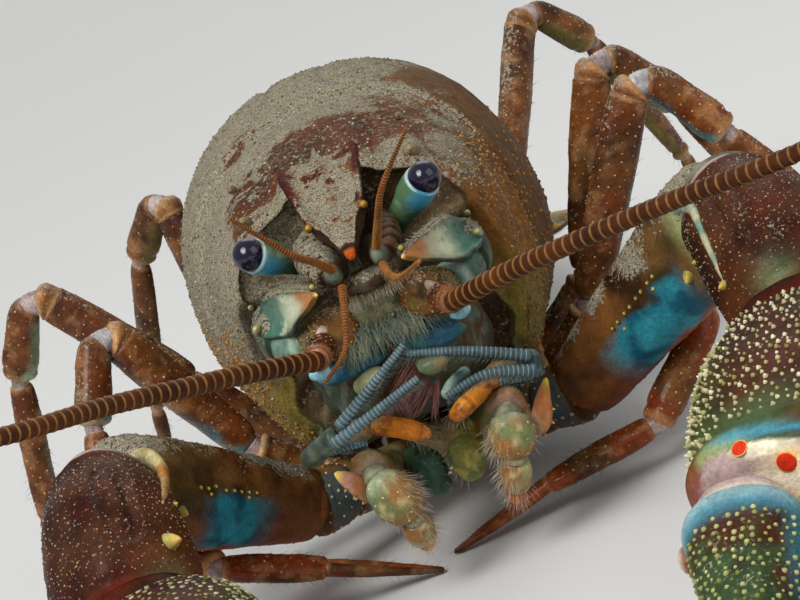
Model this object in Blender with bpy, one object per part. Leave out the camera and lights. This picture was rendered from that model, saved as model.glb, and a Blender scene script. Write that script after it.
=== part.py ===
import bpy
import bmesh
import math
from mathutils import Vector

# Signal crayfish, life-size still model. Lengths are millimetres in the animal's own
# frame (y = 0 at the rostrum tip, +y to the tail, +x to its left side, z = 0 the floor)
# and become metres, centred on the box, in the last step.
MM = 0.001
GAP = 0.3
FLOOR = 0.0

# trunk
CARAPACE_REAR = 62.0
FRONT_TOP_Y = 12.5
FRONT_TOP_Z = 33.0
FRONT_SLOPE = 0.26
TOP_LINE = ((12, 32.9), (20, 34.5), (30, 35.8), (37, 35.9), (42, 36.7), (50, 37.0), (58, 36.0), (62, 34.8))
HALF_WIDTH = ((12, 10.2), (16, 11.6), (20, 12.7), (25, 13.6), (30, 14.3), (36, 15.6), (42, 16.6),
              (48, 16.9), (55, 16.2), (62, 14.4))
WIDEST_Z = ((12, 25.0), (20, 23.0), (30, 21.0), (45, 19.5), (62, 19.0))
VIRTUAL_BOTTOM = ((12, 13.0), (20, 7.0), (30, 5.2), (45, 5.0), (62, 5.0))
MARGIN_Z = ((12, 17.0), (20, 10.5), (30, 8.6), (40, 9.4), (46, 12.0), (52, 14.4), (58, 17.0), (62, 18.4))
INNER_Z = ((12, 16.5), (20, 11.5), (26, 9.4), (30, 8.3), (48, 8.2), (56, 10.0), (62, 12.4))
INNER_HALF = 7.4
GROOVE_Y = ((0, 37.0), (40, 35.0), (75, 30.0), (105, 26.5), (160, 25.0))
GROOVE_DEPTH = 0.8
FRONT_ROWS = (0.0, 0.18, 0.4, 0.62, 0.8, 0.92)
REAR_ROWS = (0.05, 0.12, 0.25, 0.4, 0.55, 0.7, 0.85, 1.0)
CARAPACE_COLUMNS = 13

# abdomen
TERGITES = 6
ABDOMEN_REAR = 110.0
BACK_LINE = ((62, 32.6), (70, 31.0), (78, 28.0), (86, 24.2), (94, 19.8), (102, 15.0), (110, 10.6))
BELLY_LINE = ((62, 13.0), (70, 12.5), (78, 11.0), (86, 9.0), (94, 6.6), (102, 4.4), (110, 2.4))
ABDOMEN_HALF = ((62, 12.0), (70, 13.0), (78, 13.2), (86, 12.9), (94, 12.3), (102, 11.3), (110, 10.0))
PLEURA_DROP = 3.4
TELSON_LENGTH = 14.0
TELSON_HALF = ((0, 5.2), (0.3, 5.7), (0.7, 5.5), (1, 5.0))
UROPOD_HALF = ((0, 1.6), (0.2, 2.8), (0.55, 4.2), (0.85, 4.9), (1, 4.6))

# walking legs: hip, end of basis, ischium-merus joint, knee, end of carpus,
# end of propodus and tip
LEGS = {
    "leg_2_l": ((5.6, 30, 5.6), (10.0, 29.3, 5.4), (15.4, 26.0, 7.2), (25.5, 15.5, 10.6),
                (16.6, 12.0, 3.6), (6.5, 12.2, 2.6), (-2.7, 13.4, 0.0)),
    "leg_2_r": ((-5.6, 30, 5.6), (-10.0, 29.3, 5.4), (-15.4, 27.5, 7.0), (-28.0, 20.0, 12.4),
                (-20.8, 11.6, 7.4), (-12.4, 10.6, 4.0), (-3.9, 10.2, 0.0)),
    "leg_3_l": ((5.6, 36, 5.6), (11.2, 35.4, 5.2), (16.0, 34.4, 9.4), (28.3, 35.0, 27.7),
                (33.4, 34.0, 19.0), (39.0, 33.0, 5.6), (40.8, 32.5, 0.0)),
    "leg_3_r": ((-5.6, 36, 5.6), (-11.2, 36.0, 5.2), (-16.2, 35.6, 9.6), (-24.3, 34.0, 26.3),
                (-27.8, 31.0, 18.3), (-29.6, 25.5, 5.4), (-30.0, 23.2, 0.0)),
    "leg_4_l": ((5.6, 43, 5.6), (11.2, 43.4, 5.4), (17.2, 44.0, 9.8), (26.2, 44.0, 29.3),
                (31.5, 46.5, 21.0), (37.5, 49.5, 6.0), (39.0, 50.5, 0.0)),
    "leg_4_r": ((-5.6, 43, 5.6), (-12.0, 44.2, 5.2), (-19.6, 47.4, 14.6), (-30.6, 49.0, 29.2),
                (-35.0, 51.0, 21.2), (-38.8, 53.5, 6.0), (-39.5, 54.5, 0.0)),
    "leg_5_l": ((5.6, 50, 5.6), (10.4, 53.4, 5.8), (14.9, 64.5, 17.0), (23.4, 76.0, 31.0),
                (28.6, 80.0, 24.2), (33.5, 86.0, 8.0), (34.8, 88.0, 0.0)),
    "leg_5_r": ((-5.6, 50, 5.6), (-10.6, 53.4, 5.6), (-16.0, 61.6, 13.0), (-17.0, 65.8, 30.3),
                (-21.9, 70.0, 24.0), (-27.5, 76.5, 8.0), (-29.0, 78.4, 0.0)),
}
HIP_HALF = 2.1
KNEE_REACH = 3.1
KNEE_WIDTH = (1.25, 1.3, 1.3, 1.3, 1.35)
KNEE_DEPTH = (1.5, 1.45, 1.35, 1.35, 1.45)
LEG_SIDES = 10

# great claws: hip, ischium-merus joint, merus-carpus joint, wrist
CLAW_ARM = {
    "l": ((6.0, 24.5, 5.9), (12.4, 19.6, 7.0), (28.4, 5.2, 19.8), (29.6, -10.0, 12.8)),
    "r": ((-6.0, 24.5, 5.9), (-12.4, 19.6, 7.0), (-25.2, 5.2, 18.6), (-25.4, -9.6, 11.6)),
}
CLAW_END = {"l": (15.5, -57.5, 1.9), "r": (-15.5, -58.5, 1.9)}
CLAW_SIDES = 16
CARPUS_RISE = 1.5

# head
EYE_CENTRE = (7.5, 7.0, 31.0)
EYE_RADIUS = 1.35
ANTENNA_PATH = {
    "l": ((5.6, -0.3, 22.6), (9.9, -6, 24.2), (15.1, -12, 25.6), (22.9, -19, 27.0), (31.3, -26, 28.1),
          (44, -34, 30.2), (58, -38, 33.8), (73, -37, 38.6), (86, -31, 44.0)),
    "r": ((-5.6, -0.3, 22.6), (-9.8, -6, 25.0), (-14.0, -11, 27.0), (-19.7, -18, 29.7), (-25.6, -26, 32.3),
          (-36, -36, 36.8), (-49, -43, 42.0), (-63, -44, 47.5), (-76, -39, 53.0)),
}
ANTENNA_ROOT = 0.82
ANTENNA_END = 0.34
ANTENNA_SPLIT = 4
MAXILLIPED_REACH = 3.0

COLOURS = {
    "shell": (0.30, 0.20, 0.12),
    "claw": (0.13, 0.05, 0.03),
    "leg": (0.28, 0.10, 0.03),
    "antenna": (0.17, 0.06, 0.02),
    "mouthpart": (0.36, 0.22, 0.08),
    "scale": (0.25, 0.33, 0.18),
    "eyestalk": (0.10, 0.30, 0.32),
    "eye": (0.01, 0.01, 0.02),
}
ROUGHNESS = {"eye": 0.08, "claw": 0.4, "leg": 0.4}

for old in list(bpy.data.objects):
    bpy.data.objects.remove(old, do_unlink=True)


def curve(pairs, x):
    """Smooth value of a profile given as (position, value) pairs."""
    if x <= pairs[0][0]:
        return pairs[0][1]
    if x >= pairs[-1][0]:
        return pairs[-1][1]
    i = max(k for k in range(len(pairs) - 1) if pairs[k][0] <= x)

    def slope(k):
        a = pairs[max(k - 1, 0)]
        b = pairs[min(k + 1, len(pairs) - 1)]
        return (b[1] - a[1]) / (b[0] - a[0])

    (x0, v0), (x1, v1) = pairs[i], pairs[i + 1]
    h = x1 - x0
    t = (x - x0) / h
    a = (2 * t ** 3 - 3 * t ** 2 + 1) * v0 + (t ** 3 - 2 * t ** 2 + t) * h * slope(i)
    return a + (3 * t ** 2 - 2 * t ** 3) * v1 + (t ** 3 - t ** 2) * h * slope(i + 1)


def power(v, e):
    return math.copysign(abs(v) ** e, v)


def loft(rings, cap_start=True, cap_end=True):
    """Closed surface through rings of equal count."""
    bm = bmesh.new()
    rows = []
    for ring in rings:
        rows.append([bm.verts.new(p) for p in ring])
    n = len(rows[0])
    for a, b in zip(rows, rows[1:]):
        for k in range(n):
            bm.faces.new((a[k], a[(k + 1) % n], b[(k + 1) % n], b[k]))
    if cap_start:
        bm.faces.new(list(reversed(rows[0])))
    if cap_end:
        bm.faces.new(rows[-1])
    bmesh.ops.recalc_face_normals(bm, faces=bm.faces)
    if bm.calc_volume(signed=True) < 0:
        bmesh.ops.reverse_faces(bm, faces=bm.faces)
    return bm


def frame_at(tangent, hint):
    t = tangent.normalized()
    side = (hint - t * hint.dot(t)).normalized()
    return side, t.cross(side)


def oval(centre, side, up, a, b, power_of=2.0, n=10, turn=0.5):
    pts = []
    for k in range(n):
        angle = 2 * math.pi * (k + turn) / n
        x = power(math.cos(angle), 2 / power_of)
        z = power(math.sin(angle), 2 / power_of)
        pts.append(centre + side * (a * x) + up * (b * z))
    return pts


def settle(rings):
    """Lower rings that dip under the floor are pressed flat on it."""
    for ring in rings:
        for p in ring:
            p.z = max(p.z, FLOOR)
    return rings


def sweep(stations, hint, n=10, square=2.0, start_plane=None, end_plane=None):
    """Rings along stations (point, half width, half height); end rings can be
    slid along the path into a cutting plane (point, normal)."""
    pts = [Vector(s[0]) for s in stations]
    hint = Vector(hint)
    rings = []
    for i, s in enumerate(stations):
        ahead = pts[min(i + 1, len(pts) - 1)]
        behind = pts[max(i - 1, 0)]
        tangent = (ahead - behind).normalized()
        side, up = frame_at(tangent, hint)
        ring = oval(pts[i], side, up, s[1], s[2], square, n)
        plane = start_plane if i == 0 else end_plane if i == len(pts) - 1 else None
        if plane:
            point, normal = Vector(plane[0]), Vector(plane[1]).normalized()
            ring = [q + tangent * ((point - q).dot(normal) / tangent.dot(normal)) for q in ring]
        rings.append(ring)
    return loft(settle(rings))


def corner(before, knee, after, reach, count=5):
    """Points of a round bend at a joint between two straight runs."""
    back = (before - knee).normalized()
    ahead = (after - knee).normalized()
    half = back.angle(ahead) / 2
    centre = knee + (back + ahead).normalized() * (reach / math.cos(half))
    start = knee + back * reach - centre
    end = knee + ahead * reach - centre
    turn = start.angle(end)
    out = []
    for i in range(count):
        t = i / (count - 1)
        out.append(centre + (start * math.sin(turn * (1 - t)) + end * math.sin(turn * t)) / math.sin(turn))
    return out


def spine(base, tip, radius, n=5):
    base, tip = Vector(base), Vector(tip)
    side, up = frame_at(tip - base, Vector((0.3, 0.2, 1.0)))
    root = oval(base, side, up, radius, radius, 2.0, n)
    end = oval(base.lerp(tip, 0.97), side, up, radius * 0.08, radius * 0.08, 2.0, n)
    return loft([root, end])


def lerp(a, b, t):
    return Vector(a).lerp(Vector(b), t)


parts = {}


def add(name, slot, bms, side=1):
    """Join closed meshes into one object; side = -1 mirrors them to the other flank."""
    objs = []
    for i, bm in enumerate(bms):
        if side < 0:
            for v in bm.verts:
                v.co.x = -v.co.x
            bmesh.ops.reverse_faces(bm, faces=bm.faces)
        mesh = bpy.data.meshes.new(name if i == 0 else name + "_piece")
        bm.to_mesh(mesh)
        bm.free()
        ob = bpy.data.objects.new(mesh.name, mesh)
        bpy.context.scene.collection.objects.link(ob)
        objs.append(ob)
    body = objs[0]
    if len(objs) > 1:
        group = bpy.data.collections.new(name + "_pieces")
        for ob in objs[1:]:
            bpy.context.scene.collection.objects.unlink(ob)
            group.objects.link(ob)
        bpy.context.scene.collection.children.link(group)
        mod = body.modifiers.new("join", "BOOLEAN")
        mod.operation = "UNION"
        mod.operand_type = "COLLECTION"
        mod.collection = group
        mod.solver = "EXACT"
        graph = bpy.context.evaluated_depsgraph_get()
        joined = bpy.data.meshes.new_from_object(body.evaluated_get(graph))
        body.modifiers.clear()
        body.data = joined
        for ob in objs[1:]:
            bpy.data.objects.remove(ob, do_unlink=True)
        bpy.data.collections.remove(group)
        keep_largest(body)
    parts[name] = (body, slot)
    return body


def keep_largest(ob):
    bm = bmesh.new()
    bm.from_mesh(ob.data)
    bmesh.ops.remove_doubles(bm, verts=bm.verts, dist=0.002)
    seen = set()
    shells = []
    for f in bm.faces:
        if f in seen:
            continue
        stack, shell = [f], []
        seen.add(f)
        while stack:
            g = stack.pop()
            shell.append(g)
            for e in g.edges:
                for h in e.link_faces:
                    if h not in seen:
                        seen.add(h)
                        stack.append(h)
        shells.append(shell)
    shells.sort(key=lambda s: sum(f.calc_area() for f in s))
    for shell in shells[:-1]:
        bmesh.ops.delete(bm, geom=shell, context="FACES")
    bmesh.ops.delete(bm, geom=[v for v in bm.verts if not v.link_faces], context="VERTS")
    bm.to_mesh(ob.data)
    bm.free()


def front_plane_y(z):
    return FRONT_TOP_Y + FRONT_SLOPE * (FRONT_TOP_Z - z)


def carapace_point(y, degrees, depth=0.0):
    """Point of the carapace at angle 0 (crest) to the ventral margin."""
    w = curve(HALF_WIDTH, y)
    zc = curve(WIDEST_Z, y)
    zt = curve(TOP_LINE, y)
    zv = curve(VIRTUAL_BOTTOM, y)
    zb = curve(MARGIN_Z, y)
    last = 180 - math.degrees(math.acos(((zc - zb) / (zc - zv)) ** 1.1))
    a = math.radians(min(degrees, last))
    if a <= math.pi / 2:
        x = w * power(math.sin(a), 0.92)
        z = zc + (zt - zc) * power(math.cos(a), 0.92)
    else:
        x = w * power(math.sin(a), 1 / 1.1)
        z = zc + (zc - zv) * power(math.cos(a), 1 / 1.1)
    inward = Vector((x, 0, z - zc)).normalized() * depth
    return Vector((x, y, z)) - inward, last


def carapace_row(row, depth):
    """One ring; row 0..1 runs from the front edge to the groove, 1..2 on to the rear."""
    half = []
    for j in range(CARAPACE_COLUMNS):
        y = 20.0 + 20.0 * row
        for _ in range(8):
            last = carapace_point(y, 180)[1]
            degrees = last * j / (CARAPACE_COLUMNS - 1)
            groove = curve(GROOVE_Y, degrees)
            if row <= 1:
                front = front_plane_y(carapace_point(y, degrees)[0].z)
                y = front + (groove - front) * row
            else:
                y = groove + (CARAPACE_REAR - groove) * (row - 1)
        half.append(carapace_point(y, degrees, depth)[0])
    margin = half[-1]
    inner_z = curve(INNER_Z, margin.y)
    inner = Vector((min(INNER_HALF, margin.x * 0.86), margin.y, min(inner_z, margin.z - 0.2)))
    keel = Vector((0, margin.y, inner.z))
    if row == 0:
        for p in (inner, keel):
            p.y = front_plane_y(p.z)
    ring = [Vector((-p.x, p.y, p.z)) for p in [inner] + half[:0:-1]]
    return [keel] + ring + [half[0]] + half[1:] + [inner]


def rostrum_ring(y, half, ridge, middle, low):
    """Shallow trough between two ridges, with a low keel along the middle."""
    flat = ((half, ridge), (half * 0.55, (ridge + middle) / 2 - 0.25), (0, middle),
            (-half * 0.55, (ridge + middle) / 2 - 0.25), (-half, ridge),
            (-half * 0.9, (ridge + low) / 2), (-half * 0.45, low), (half * 0.45, low),
            (half * 0.9, (ridge + low) / 2))
    return [Vector((x, y, z)) for x, z in flat]


def build_carapace():
    rows = [(r, 0.0) for r in FRONT_ROWS] + [(1.0, GROOVE_DEPTH)] + [(1 + r, 0.0) for r in REAR_ROWS]
    pieces = [loft([carapace_row(*r) for r in rows])]
    rostrum = (rostrum_ring(19.0, 3.6, 33.6, 33.9, 31.5), rostrum_ring(14.0, 3.5, 33.5, 33.4, 30.8),
               rostrum_ring(9.0, 2.9, 32.3, 32.0, 29.9), rostrum_ring(5.2, 2.3, 31.3, 31.1, 29.0),
               rostrum_ring(4.0, 1.5, 30.7, 30.8, 28.8), rostrum_ring(1.8, 0.9, 29.9, 30.1, 28.5),
               rostrum_ring(0.0, 0.25, 29.1, 29.2, 28.7))
    pieces.append(loft(rostrum))
    for s in (1, -1):
        pieces.append(spine((s * 2.2, 7.6, 31.4), (s * 2.4, 4.4, 31.5), 0.55))
        pieces.append(spine((s * 7.4, 20.5, 32.2), (s * 7.3, 13.6, 32.9), 1.3))
        pieces.append(spine((s * 7.9, 27.0, 33.2), (s * 7.9, 23.0, 34.8), 0.9))
    add("carapace", "shell", pieces)


def build_sternum():
    stations = ((19.5, 3.0, 1.4, 8.1), (26, 4.6, 1.7, 6.1), (36, 4.9, 1.7, 5.9), (48, 4.9, 1.7, 5.9),
                (56, 4.4, 2.5, 6.8), (61.5, 4.0, 3.7, 8.0))
    rings = []
    for y, half, thick, z in stations:
        rings.append(oval(Vector((0, y, z)), Vector((1, 0, 0)), Vector((0, 0, 1)), half, thick, 3.0, 12))
    add("sternum", "shell", [loft(rings)])


def tergite_ring(y, drop, inset):
    top = curve(BACK_LINE, y) - inset
    belly = curve(BELLY_LINE, y)
    half = curve(ABDOMEN_HALF, y) - inset
    side_z = belly + (top - belly) * 0.35
    pts = []
    steps = 9
    for k in range(steps):
        a = math.pi * k / (steps - 1)
        pts.append(Vector((half * power(math.cos(a), 0.9), y, side_z + (top - side_z) * math.sin(a))))
    low = max(belly - drop, 1.0)
    pts.append(Vector((-half * 0.93, y, low)))
    pts.append(Vector((-half * 0.6, y, belly)))
    pts.append(Vector((half * 0.6, y, belly)))
    pts.append(Vector((half * 0.93, y, low)))
    return pts


def swimmeret(s, y):
    """Small paddle hanging under the tail."""
    belly = curve(BELLY_LINE, y)
    drop = min(belly * 0.55, 4.6)
    stations = [((5.6 * s, y, belly + 0.6), 0.9, 0.8), ((6.1 * s, y + 0.7, belly - drop * 0.4), 0.9, 0.6),
                ((6.5 * s, y + 2.2, belly - drop * 0.8), 1.2, 0.4), ((6.7 * s, y + 3.0, belly - drop), 0.5, 0.3)]
    return sweep(stations, (1, 0, 0), 8)


def build_abdomen():
    step = (ABDOMEN_REAR - CARAPACE_REAR) / TERGITES
    shape = ((0.0, 0.15, 0.5), (0.22, 0.8, 0.12), (0.55, 1.0, 0.0), (0.85, 0.7, 0.0), (1.0, 0.3, 0.25))
    for i in range(TERGITES):
        y0 = CARAPACE_REAR + GAP + i * step
        drop = PLEURA_DROP * (0.35 if i == 0 else 1.0 if i < TERGITES - 1 else 0.5)
        rings = []
        for t, share, inset in shape:
            rings.append(tergite_ring(y0 + t * (step - GAP), drop * share, inset))
        pieces = [loft(rings)]
        if 0 < i < TERGITES - 1:
            for s in (1, -1):
                pieces.append(swimmeret(s, y0 + step * 0.4))
        add("abdomen_%d" % (i + 1), "shell", pieces)


def plate(outline, bottom, top, dome=0.0):
    """Flat closed plate over an outline of (x, y) points standing on z = bottom."""
    low = [Vector((x, y, bottom)) for x, y in outline]
    cx = sum(p.x for p in low) / len(low)
    cy = sum(p.y for p in low) / len(low)
    mid = [Vector((p.x, p.y, (bottom + top) / 2)) for p in low]
    high = [Vector((cx + (p.x - cx) * 0.86, cy + (p.y - cy) * 0.86, top)) for p in low]
    crest = [Vector((cx + (p.x - cx) * 0.4, cy + (p.y - cy) * 0.4, top + dome)) for p in low]
    return loft([low, mid, high, crest])


def blade(root, direction, length, widths, count=9):
    """Paddle outline; widths give the half width along its length, ending round."""
    d = Vector((direction[0], direction[1], 0)).normalized()
    n = Vector((-d.y, d.x, 0))
    right = []
    left = []
    for k in range(count):
        t = 1 - (1 - k / (count - 1)) ** 1.6
        w = curve(widths, t) * math.sqrt(max(1 - t ** 6, 0.0))
        p = Vector((root[0], root[1], 0)) + d * (length * t)
        right.append((p.x + n.x * w, p.y + n.y * w))
        if k < count - 1:
            left.append((p.x - n.x * w, p.y - n.y * w))
    return right + left[::-1]


def build_tail():
    y0 = ABDOMEN_REAR + GAP
    fan = blade((0, y0), (0, 1), TELSON_LENGTH - GAP, TELSON_HALF)
    add("telson", "shell", [plate(fan, FLOOR, 1.5, 0.7)])
    for s, tag in ((1, "l"), (-1, "r")):
        inner = blade((8.0 * s, y0 + 0.4), (0.34 * s, 1), 15.4, UROPOD_HALF)
        outer = blade((8.6 * s, y0 + 0.1), (1.05 * s, 1), 15.8, UROPOD_HALF)
        add("uropod_" + tag, "shell", [plate(inner, FLOOR, 1.1, 0.4), plate(outer, FLOOR, 1.4, 0.5)])


def leg_profile(a, b, pairs):
    """Stations along one leg segment: pairs give (position, half depth, half width)."""
    return [(lerp(a, b, t), h, w) for t, h, w in pairs]


def build_leg(name, joints):
    hip, basis, ischium, knee, carpus, propodus, tip = [Vector(p) for p in joints]
    plane = (knee - basis).cross(tip - basis).normalized()
    if plane.y < 0:
        plane = -plane
    thigh = (knee - ischium).normalized()
    sever = knee - thigh * KNEE_REACH
    upper = leg_profile(hip, basis, ((0, 2.0, 1.9), (0.55, HIP_HALF, 2.0)))
    upper += leg_profile(basis, ischium, ((0.0, 1.6, 1.7), (0.5, 1.3, 1.6), (0.95, 1.15, 1.45)))
    upper += leg_profile(ischium, sever, ((0.1, 1.2, 1.6), (0.4, 1.3, 1.85), (0.75, 1.35, 1.95)))
    upper.append((sever - thigh * GAP, 1.3, 1.6))
    away = 1 if hip.x > 0 else -1
    root_plane = ((hip.x, 0, 0), (away, 0, 0))
    add(name + "_upper", "leg", [sweep(upper, plane, LEG_SIDES, 2.2, root_plane, (upper[-1][0], thigh))])
    chela = name.startswith("leg_2") or name.startswith("leg_3")
    bow = corner(ischium, knee, carpus, KNEE_REACH)
    lower = [(p, h, w) for p, h, w in zip(bow, KNEE_WIDTH, KNEE_DEPTH)]
    lower += leg_profile(knee, carpus, ((0.55, 1.45, 1.6), (0.82, 1.5, 1.7), (0.97, 1.2, 1.3)))
    wide = 1.25 if chela else 1.0
    lower += leg_profile(carpus, propodus, ((0.06, 1.05, 1.2), (0.35, 1.05, 1.35 * wide), (0.75, 0.95, 1.3 * wide),
                                            (0.97, 0.8, 1.0 * wide)))
    lower += leg_profile(propodus, tip, ((0.1, 0.75, 0.9), (0.55, 0.6, 0.65), (0.88, 0.4, 0.42)))
    lower.append((tip, 0.3, 0.3))
    bm = sweep(lower, plane, LEG_SIDES, 2.2, (sever, thigh))
    add(name + "_lower", "leg", [bm])


def claw_frame(tag):
    wrist = Vector(CLAW_ARM[tag][3])
    end = Vector(CLAW_END[tag])
    along = (end - wrist).normalized()
    out = Vector((1 if tag == "l" else -1, 0, 0))
    side, up = frame_at(along, out)
    if up.z < 0:
        up = -up
    return wrist, along, side, up


def claw_ring(base, along, side, up, reach, inner, outer, thick, square=2.4, lift=0.0):
    """Ring across the claw between its inner and outer edge."""
    centre = base + along * reach + side * ((inner + outer) / 2) + up * lift
    return oval(centre, side, up, (outer - inner) / 2, thick, square, CLAW_SIDES)


def build_claw(tag):
    s = 1 if tag == "l" else -1
    hip, ischium, elbow, wrist = [Vector(p) for p in CLAW_ARM[tag]]
    name = "claw_%s_" % tag
    plane = (elbow - ischium).cross(wrist - elbow).normalized()
    hint = plane if plane.x * s > 0 else -plane
    first = (ischium - hip).normalized()
    second = (elbow - ischium).normalized()
    third = (wrist - elbow).normalized()
    _, along, side, up = claw_frame(tag)
    cuts = [(first + second).normalized(), (second + third).normalized(), (third + along).normalized()]
    base = leg_profile(hip, ischium, ((0.0, 2.2, 2.3), (0.4, 2.6, 2.4), (1.0, 2.9, 2.9)))
    bm = sweep(base, (0, 0, 1), 12, 2.2, None, (ischium - cuts[0] * (GAP / 2), cuts[0]))
    add(name + "base", "claw", [bm])
    merus = leg_profile(ischium, elbow, ((0.0, 3.0, 3.0), (0.2, 3.1, 3.6), (0.5, 3.6, 4.4), (0.78, 4.0, 4.9),
                                         (1.0, 3.7, 4.4)))
    pieces = [sweep(merus, hint, 12, 2.3, (ischium + cuts[0] * (GAP / 2), cuts[0]),
                    (elbow - cuts[1] * (GAP / 2), cuts[1]))]
    for t, reach, dip in ((0.45, 0.9, 0.15), (0.66, 1.0, 0.15), (0.84, 1.5, 0.6)):
        c = lerp(ischium, elbow, t)
        inner = (Vector((-s * 0.75, -0.55, -dip)) + second * 0.25).normalized()
        pieces.append(spine(c + inner * 2.6, c + inner * (4.3 + reach), 0.9))
    add(name + "merus", "claw", pieces)
    carpus = leg_profile(elbow, wrist, ((0.0, 3.7, 4.1), (0.2, 4.4, 4.7), (0.5, 5.1, 5.3), (0.8, 5.5, 5.4),
                                        (1.0, 4.3, 4.3)))
    rise = Vector((0, 0, CARPUS_RISE))
    carpus = [(p + rise * min(k, 4 - k) / 2, h, w) for k, (p, h, w) in enumerate(carpus)]
    pieces = [sweep(carpus, hint, 14, 2.3, (elbow + cuts[1] * (GAP / 2), cuts[1]),
                    (wrist - cuts[2] * (GAP / 2), cuts[2]))]
    c = lerp(elbow, wrist, 0.74)
    pieces.append(spine(c + Vector((-s * 2.8, -0.6, 2.2)), c + Vector((-s * 5.6, -3.4, 2.6)), 1.2))
    add(name + "carpus", "claw", pieces)
    base_point = wrist + along * 0.4
    rows = ((0.0, -4.3, 3.9, 3.9), (3.0, -6.4, 6.0, 4.5), (7.0, -8.0, 8.6, 5.2), (13.0, -8.8, 10.7, 5.5),
            (18.0, -8.8, 11.4, 5.2), (21.0, -8.5, 11.5, 5.0), (22.6, -7.6, 11.4, 4.8), (23.6, -0.3, 11.2, 4.5),
            (27.0, 1.1, 10.5, 4.0), (34.0, 1.7, 8.7, 3.2), (42.0, 1.0, 6.1, 2.3), (48.0, -0.4, 2.8, 1.3),
            (50.4, -0.8, 0.5, 0.7))
    rings = [claw_ring(base_point, along, side, up, *r) for r in rows]
    cut_point = wrist + cuts[2] * (GAP / 2)
    rings[0] = [q + along * ((cut_point - q).dot(cuts[2]) / along.dot(cuts[2])) for q in rings[0]]
    add(name + "palm", "claw", [loft(settle(rings))])
    finger = ((24.4, -7.8, -1.6, 3.8), (26.0, -8.5, -0.8, 4.2), (29.0, -8.5, -0.3, 4.0), (34.0, -7.7, -0.7, 3.2),
              (41.0, -6.2, -1.8, 2.4), (46.5, -4.3, -2.0, 1.4), (49.0, -3.2, -2.0, 0.7))
    rings = [claw_ring(base_point, along, side, up, *r) for r in finger]
    add(name + "dactyl", "claw", [loft(settle(rings))])


def build_head():
    rows = ((0.0, 7.8, 5.9, 16.6), (0.3, 7.2, 5.6, 16.9), (0.7, 5.0, 4.2, 17.4), (1.0, 3.2, 2.8, 17.8))
    rings = []
    for t, half, tall, z in rows:
        ring = oval(Vector((0, 0, z)), Vector((1, 0, 0)), Vector((0, 0, 1)), half, tall, 2.3, 14)
        for p in ring:
            back = front_plane_y(p.z) - GAP * 1.1
            p.y = back + (5.4 - back) * t
        rings.append(ring)
    add("mouth", "mouthpart", [loft(rings)])
    for s, tag in ((1, "l"), (-1, "r")):
        eye = Vector(EYE_CENTRE)
        root = Vector((3.9, 10.8, 27.9))
        look = (eye - root).normalized()
        neck = eye - look * (EYE_RADIUS * 0.45)
        stalk = [(root, 1.15, 1.15), (lerp(root, neck, 0.35), 1.2, 1.2), (lerp(root, neck, 0.75), 1.45, 1.45),
                 (neck - look * GAP, 1.4, 1.4)]
        add("eyestalk_" + tag, "eyestalk", [sweep(stalk, (0, 0, 1), 12)], s)
        rings = []
        for k in range(6):
            a = math.radians(-24 + 21 * k)
            centre = eye + look * (EYE_RADIUS * math.sin(a))
            u, w = frame_at(look, Vector((0, 0, 1)))
            r = EYE_RADIUS * math.cos(a)
            rings.append(oval(centre, u, w, r, r, 2.0, 14))
        add("eye_" + tag, "eye", [loft(rings)], s)
        basal = [((8.6, front_plane_y(23.7) - GAP - 1.0, 23.7), 2.1, 2.3), ((8.5, 10.8, 23.4), 2.3, 2.4),
                 ((7.1, 8.3, 22.4), 1.8, 1.75), ((5.4, 5.8, 22.6), 1.75, 1.75), ((4.2, 3.6, 23.2), 1.85, 1.85),
                 ((3.6, 2.3, 23.6), 1.5, 1.5)]
        root = sweep(basal, (1, 0, 0), 12)
        collar = [((4.2, 3.6, 23.3), 1.1, 1.1), ((4.9, 1.7, 22.9), 1.3, 1.3), ((5.45, 0.1, 22.65), 1.05, 1.05)]
        collar = sweep(collar, (1, 0, 0), 10, 2.0, None, (collar[-1][0], (0, 1, 0)))
        thorn = spine((9.6, 11.2, 24.3), (9.7, 8.4, 25.0), 0.9)
        add("antenna_base_" + tag, "mouthpart", [root, collar, thorn], s)
        scale = [((8.0, 8.0, 26.0), 0.8, 0.35), ((7.3, 6.7, 25.8), 1.6, 0.4), ((6.2, 4.8, 25.8), 2.0, 0.42),
                 ((5.1, 2.6, 26.4), 1.7, 0.4), ((4.25, 0.5, 27.0), 1.05, 0.38), ((3.65, -1.1, 27.5), 0.3, 0.3)]
        add("antenna_scale_" + tag, "scale", [sweep(scale, (0.45, 0.45, -0.77), 10)], s)


def chain(path, sizes):
    """Tapering round rod through a smooth path; sizes = (start, end, count of rings)."""
    r0, r1, count = sizes
    spots = [(float(i), Vector(p)) for i, p in enumerate(path)]
    axes = [tuple((i, p[a]) for i, p in spots) for a in range(3)]
    stations = []
    for k in range(count):
        t = k / (count - 1)
        p = Vector([curve(axis, t * (len(path) - 1)) for axis in axes])
        r = r0 + (r1 - r0) * t
        stations.append((p, r, r))
    return stations


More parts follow.
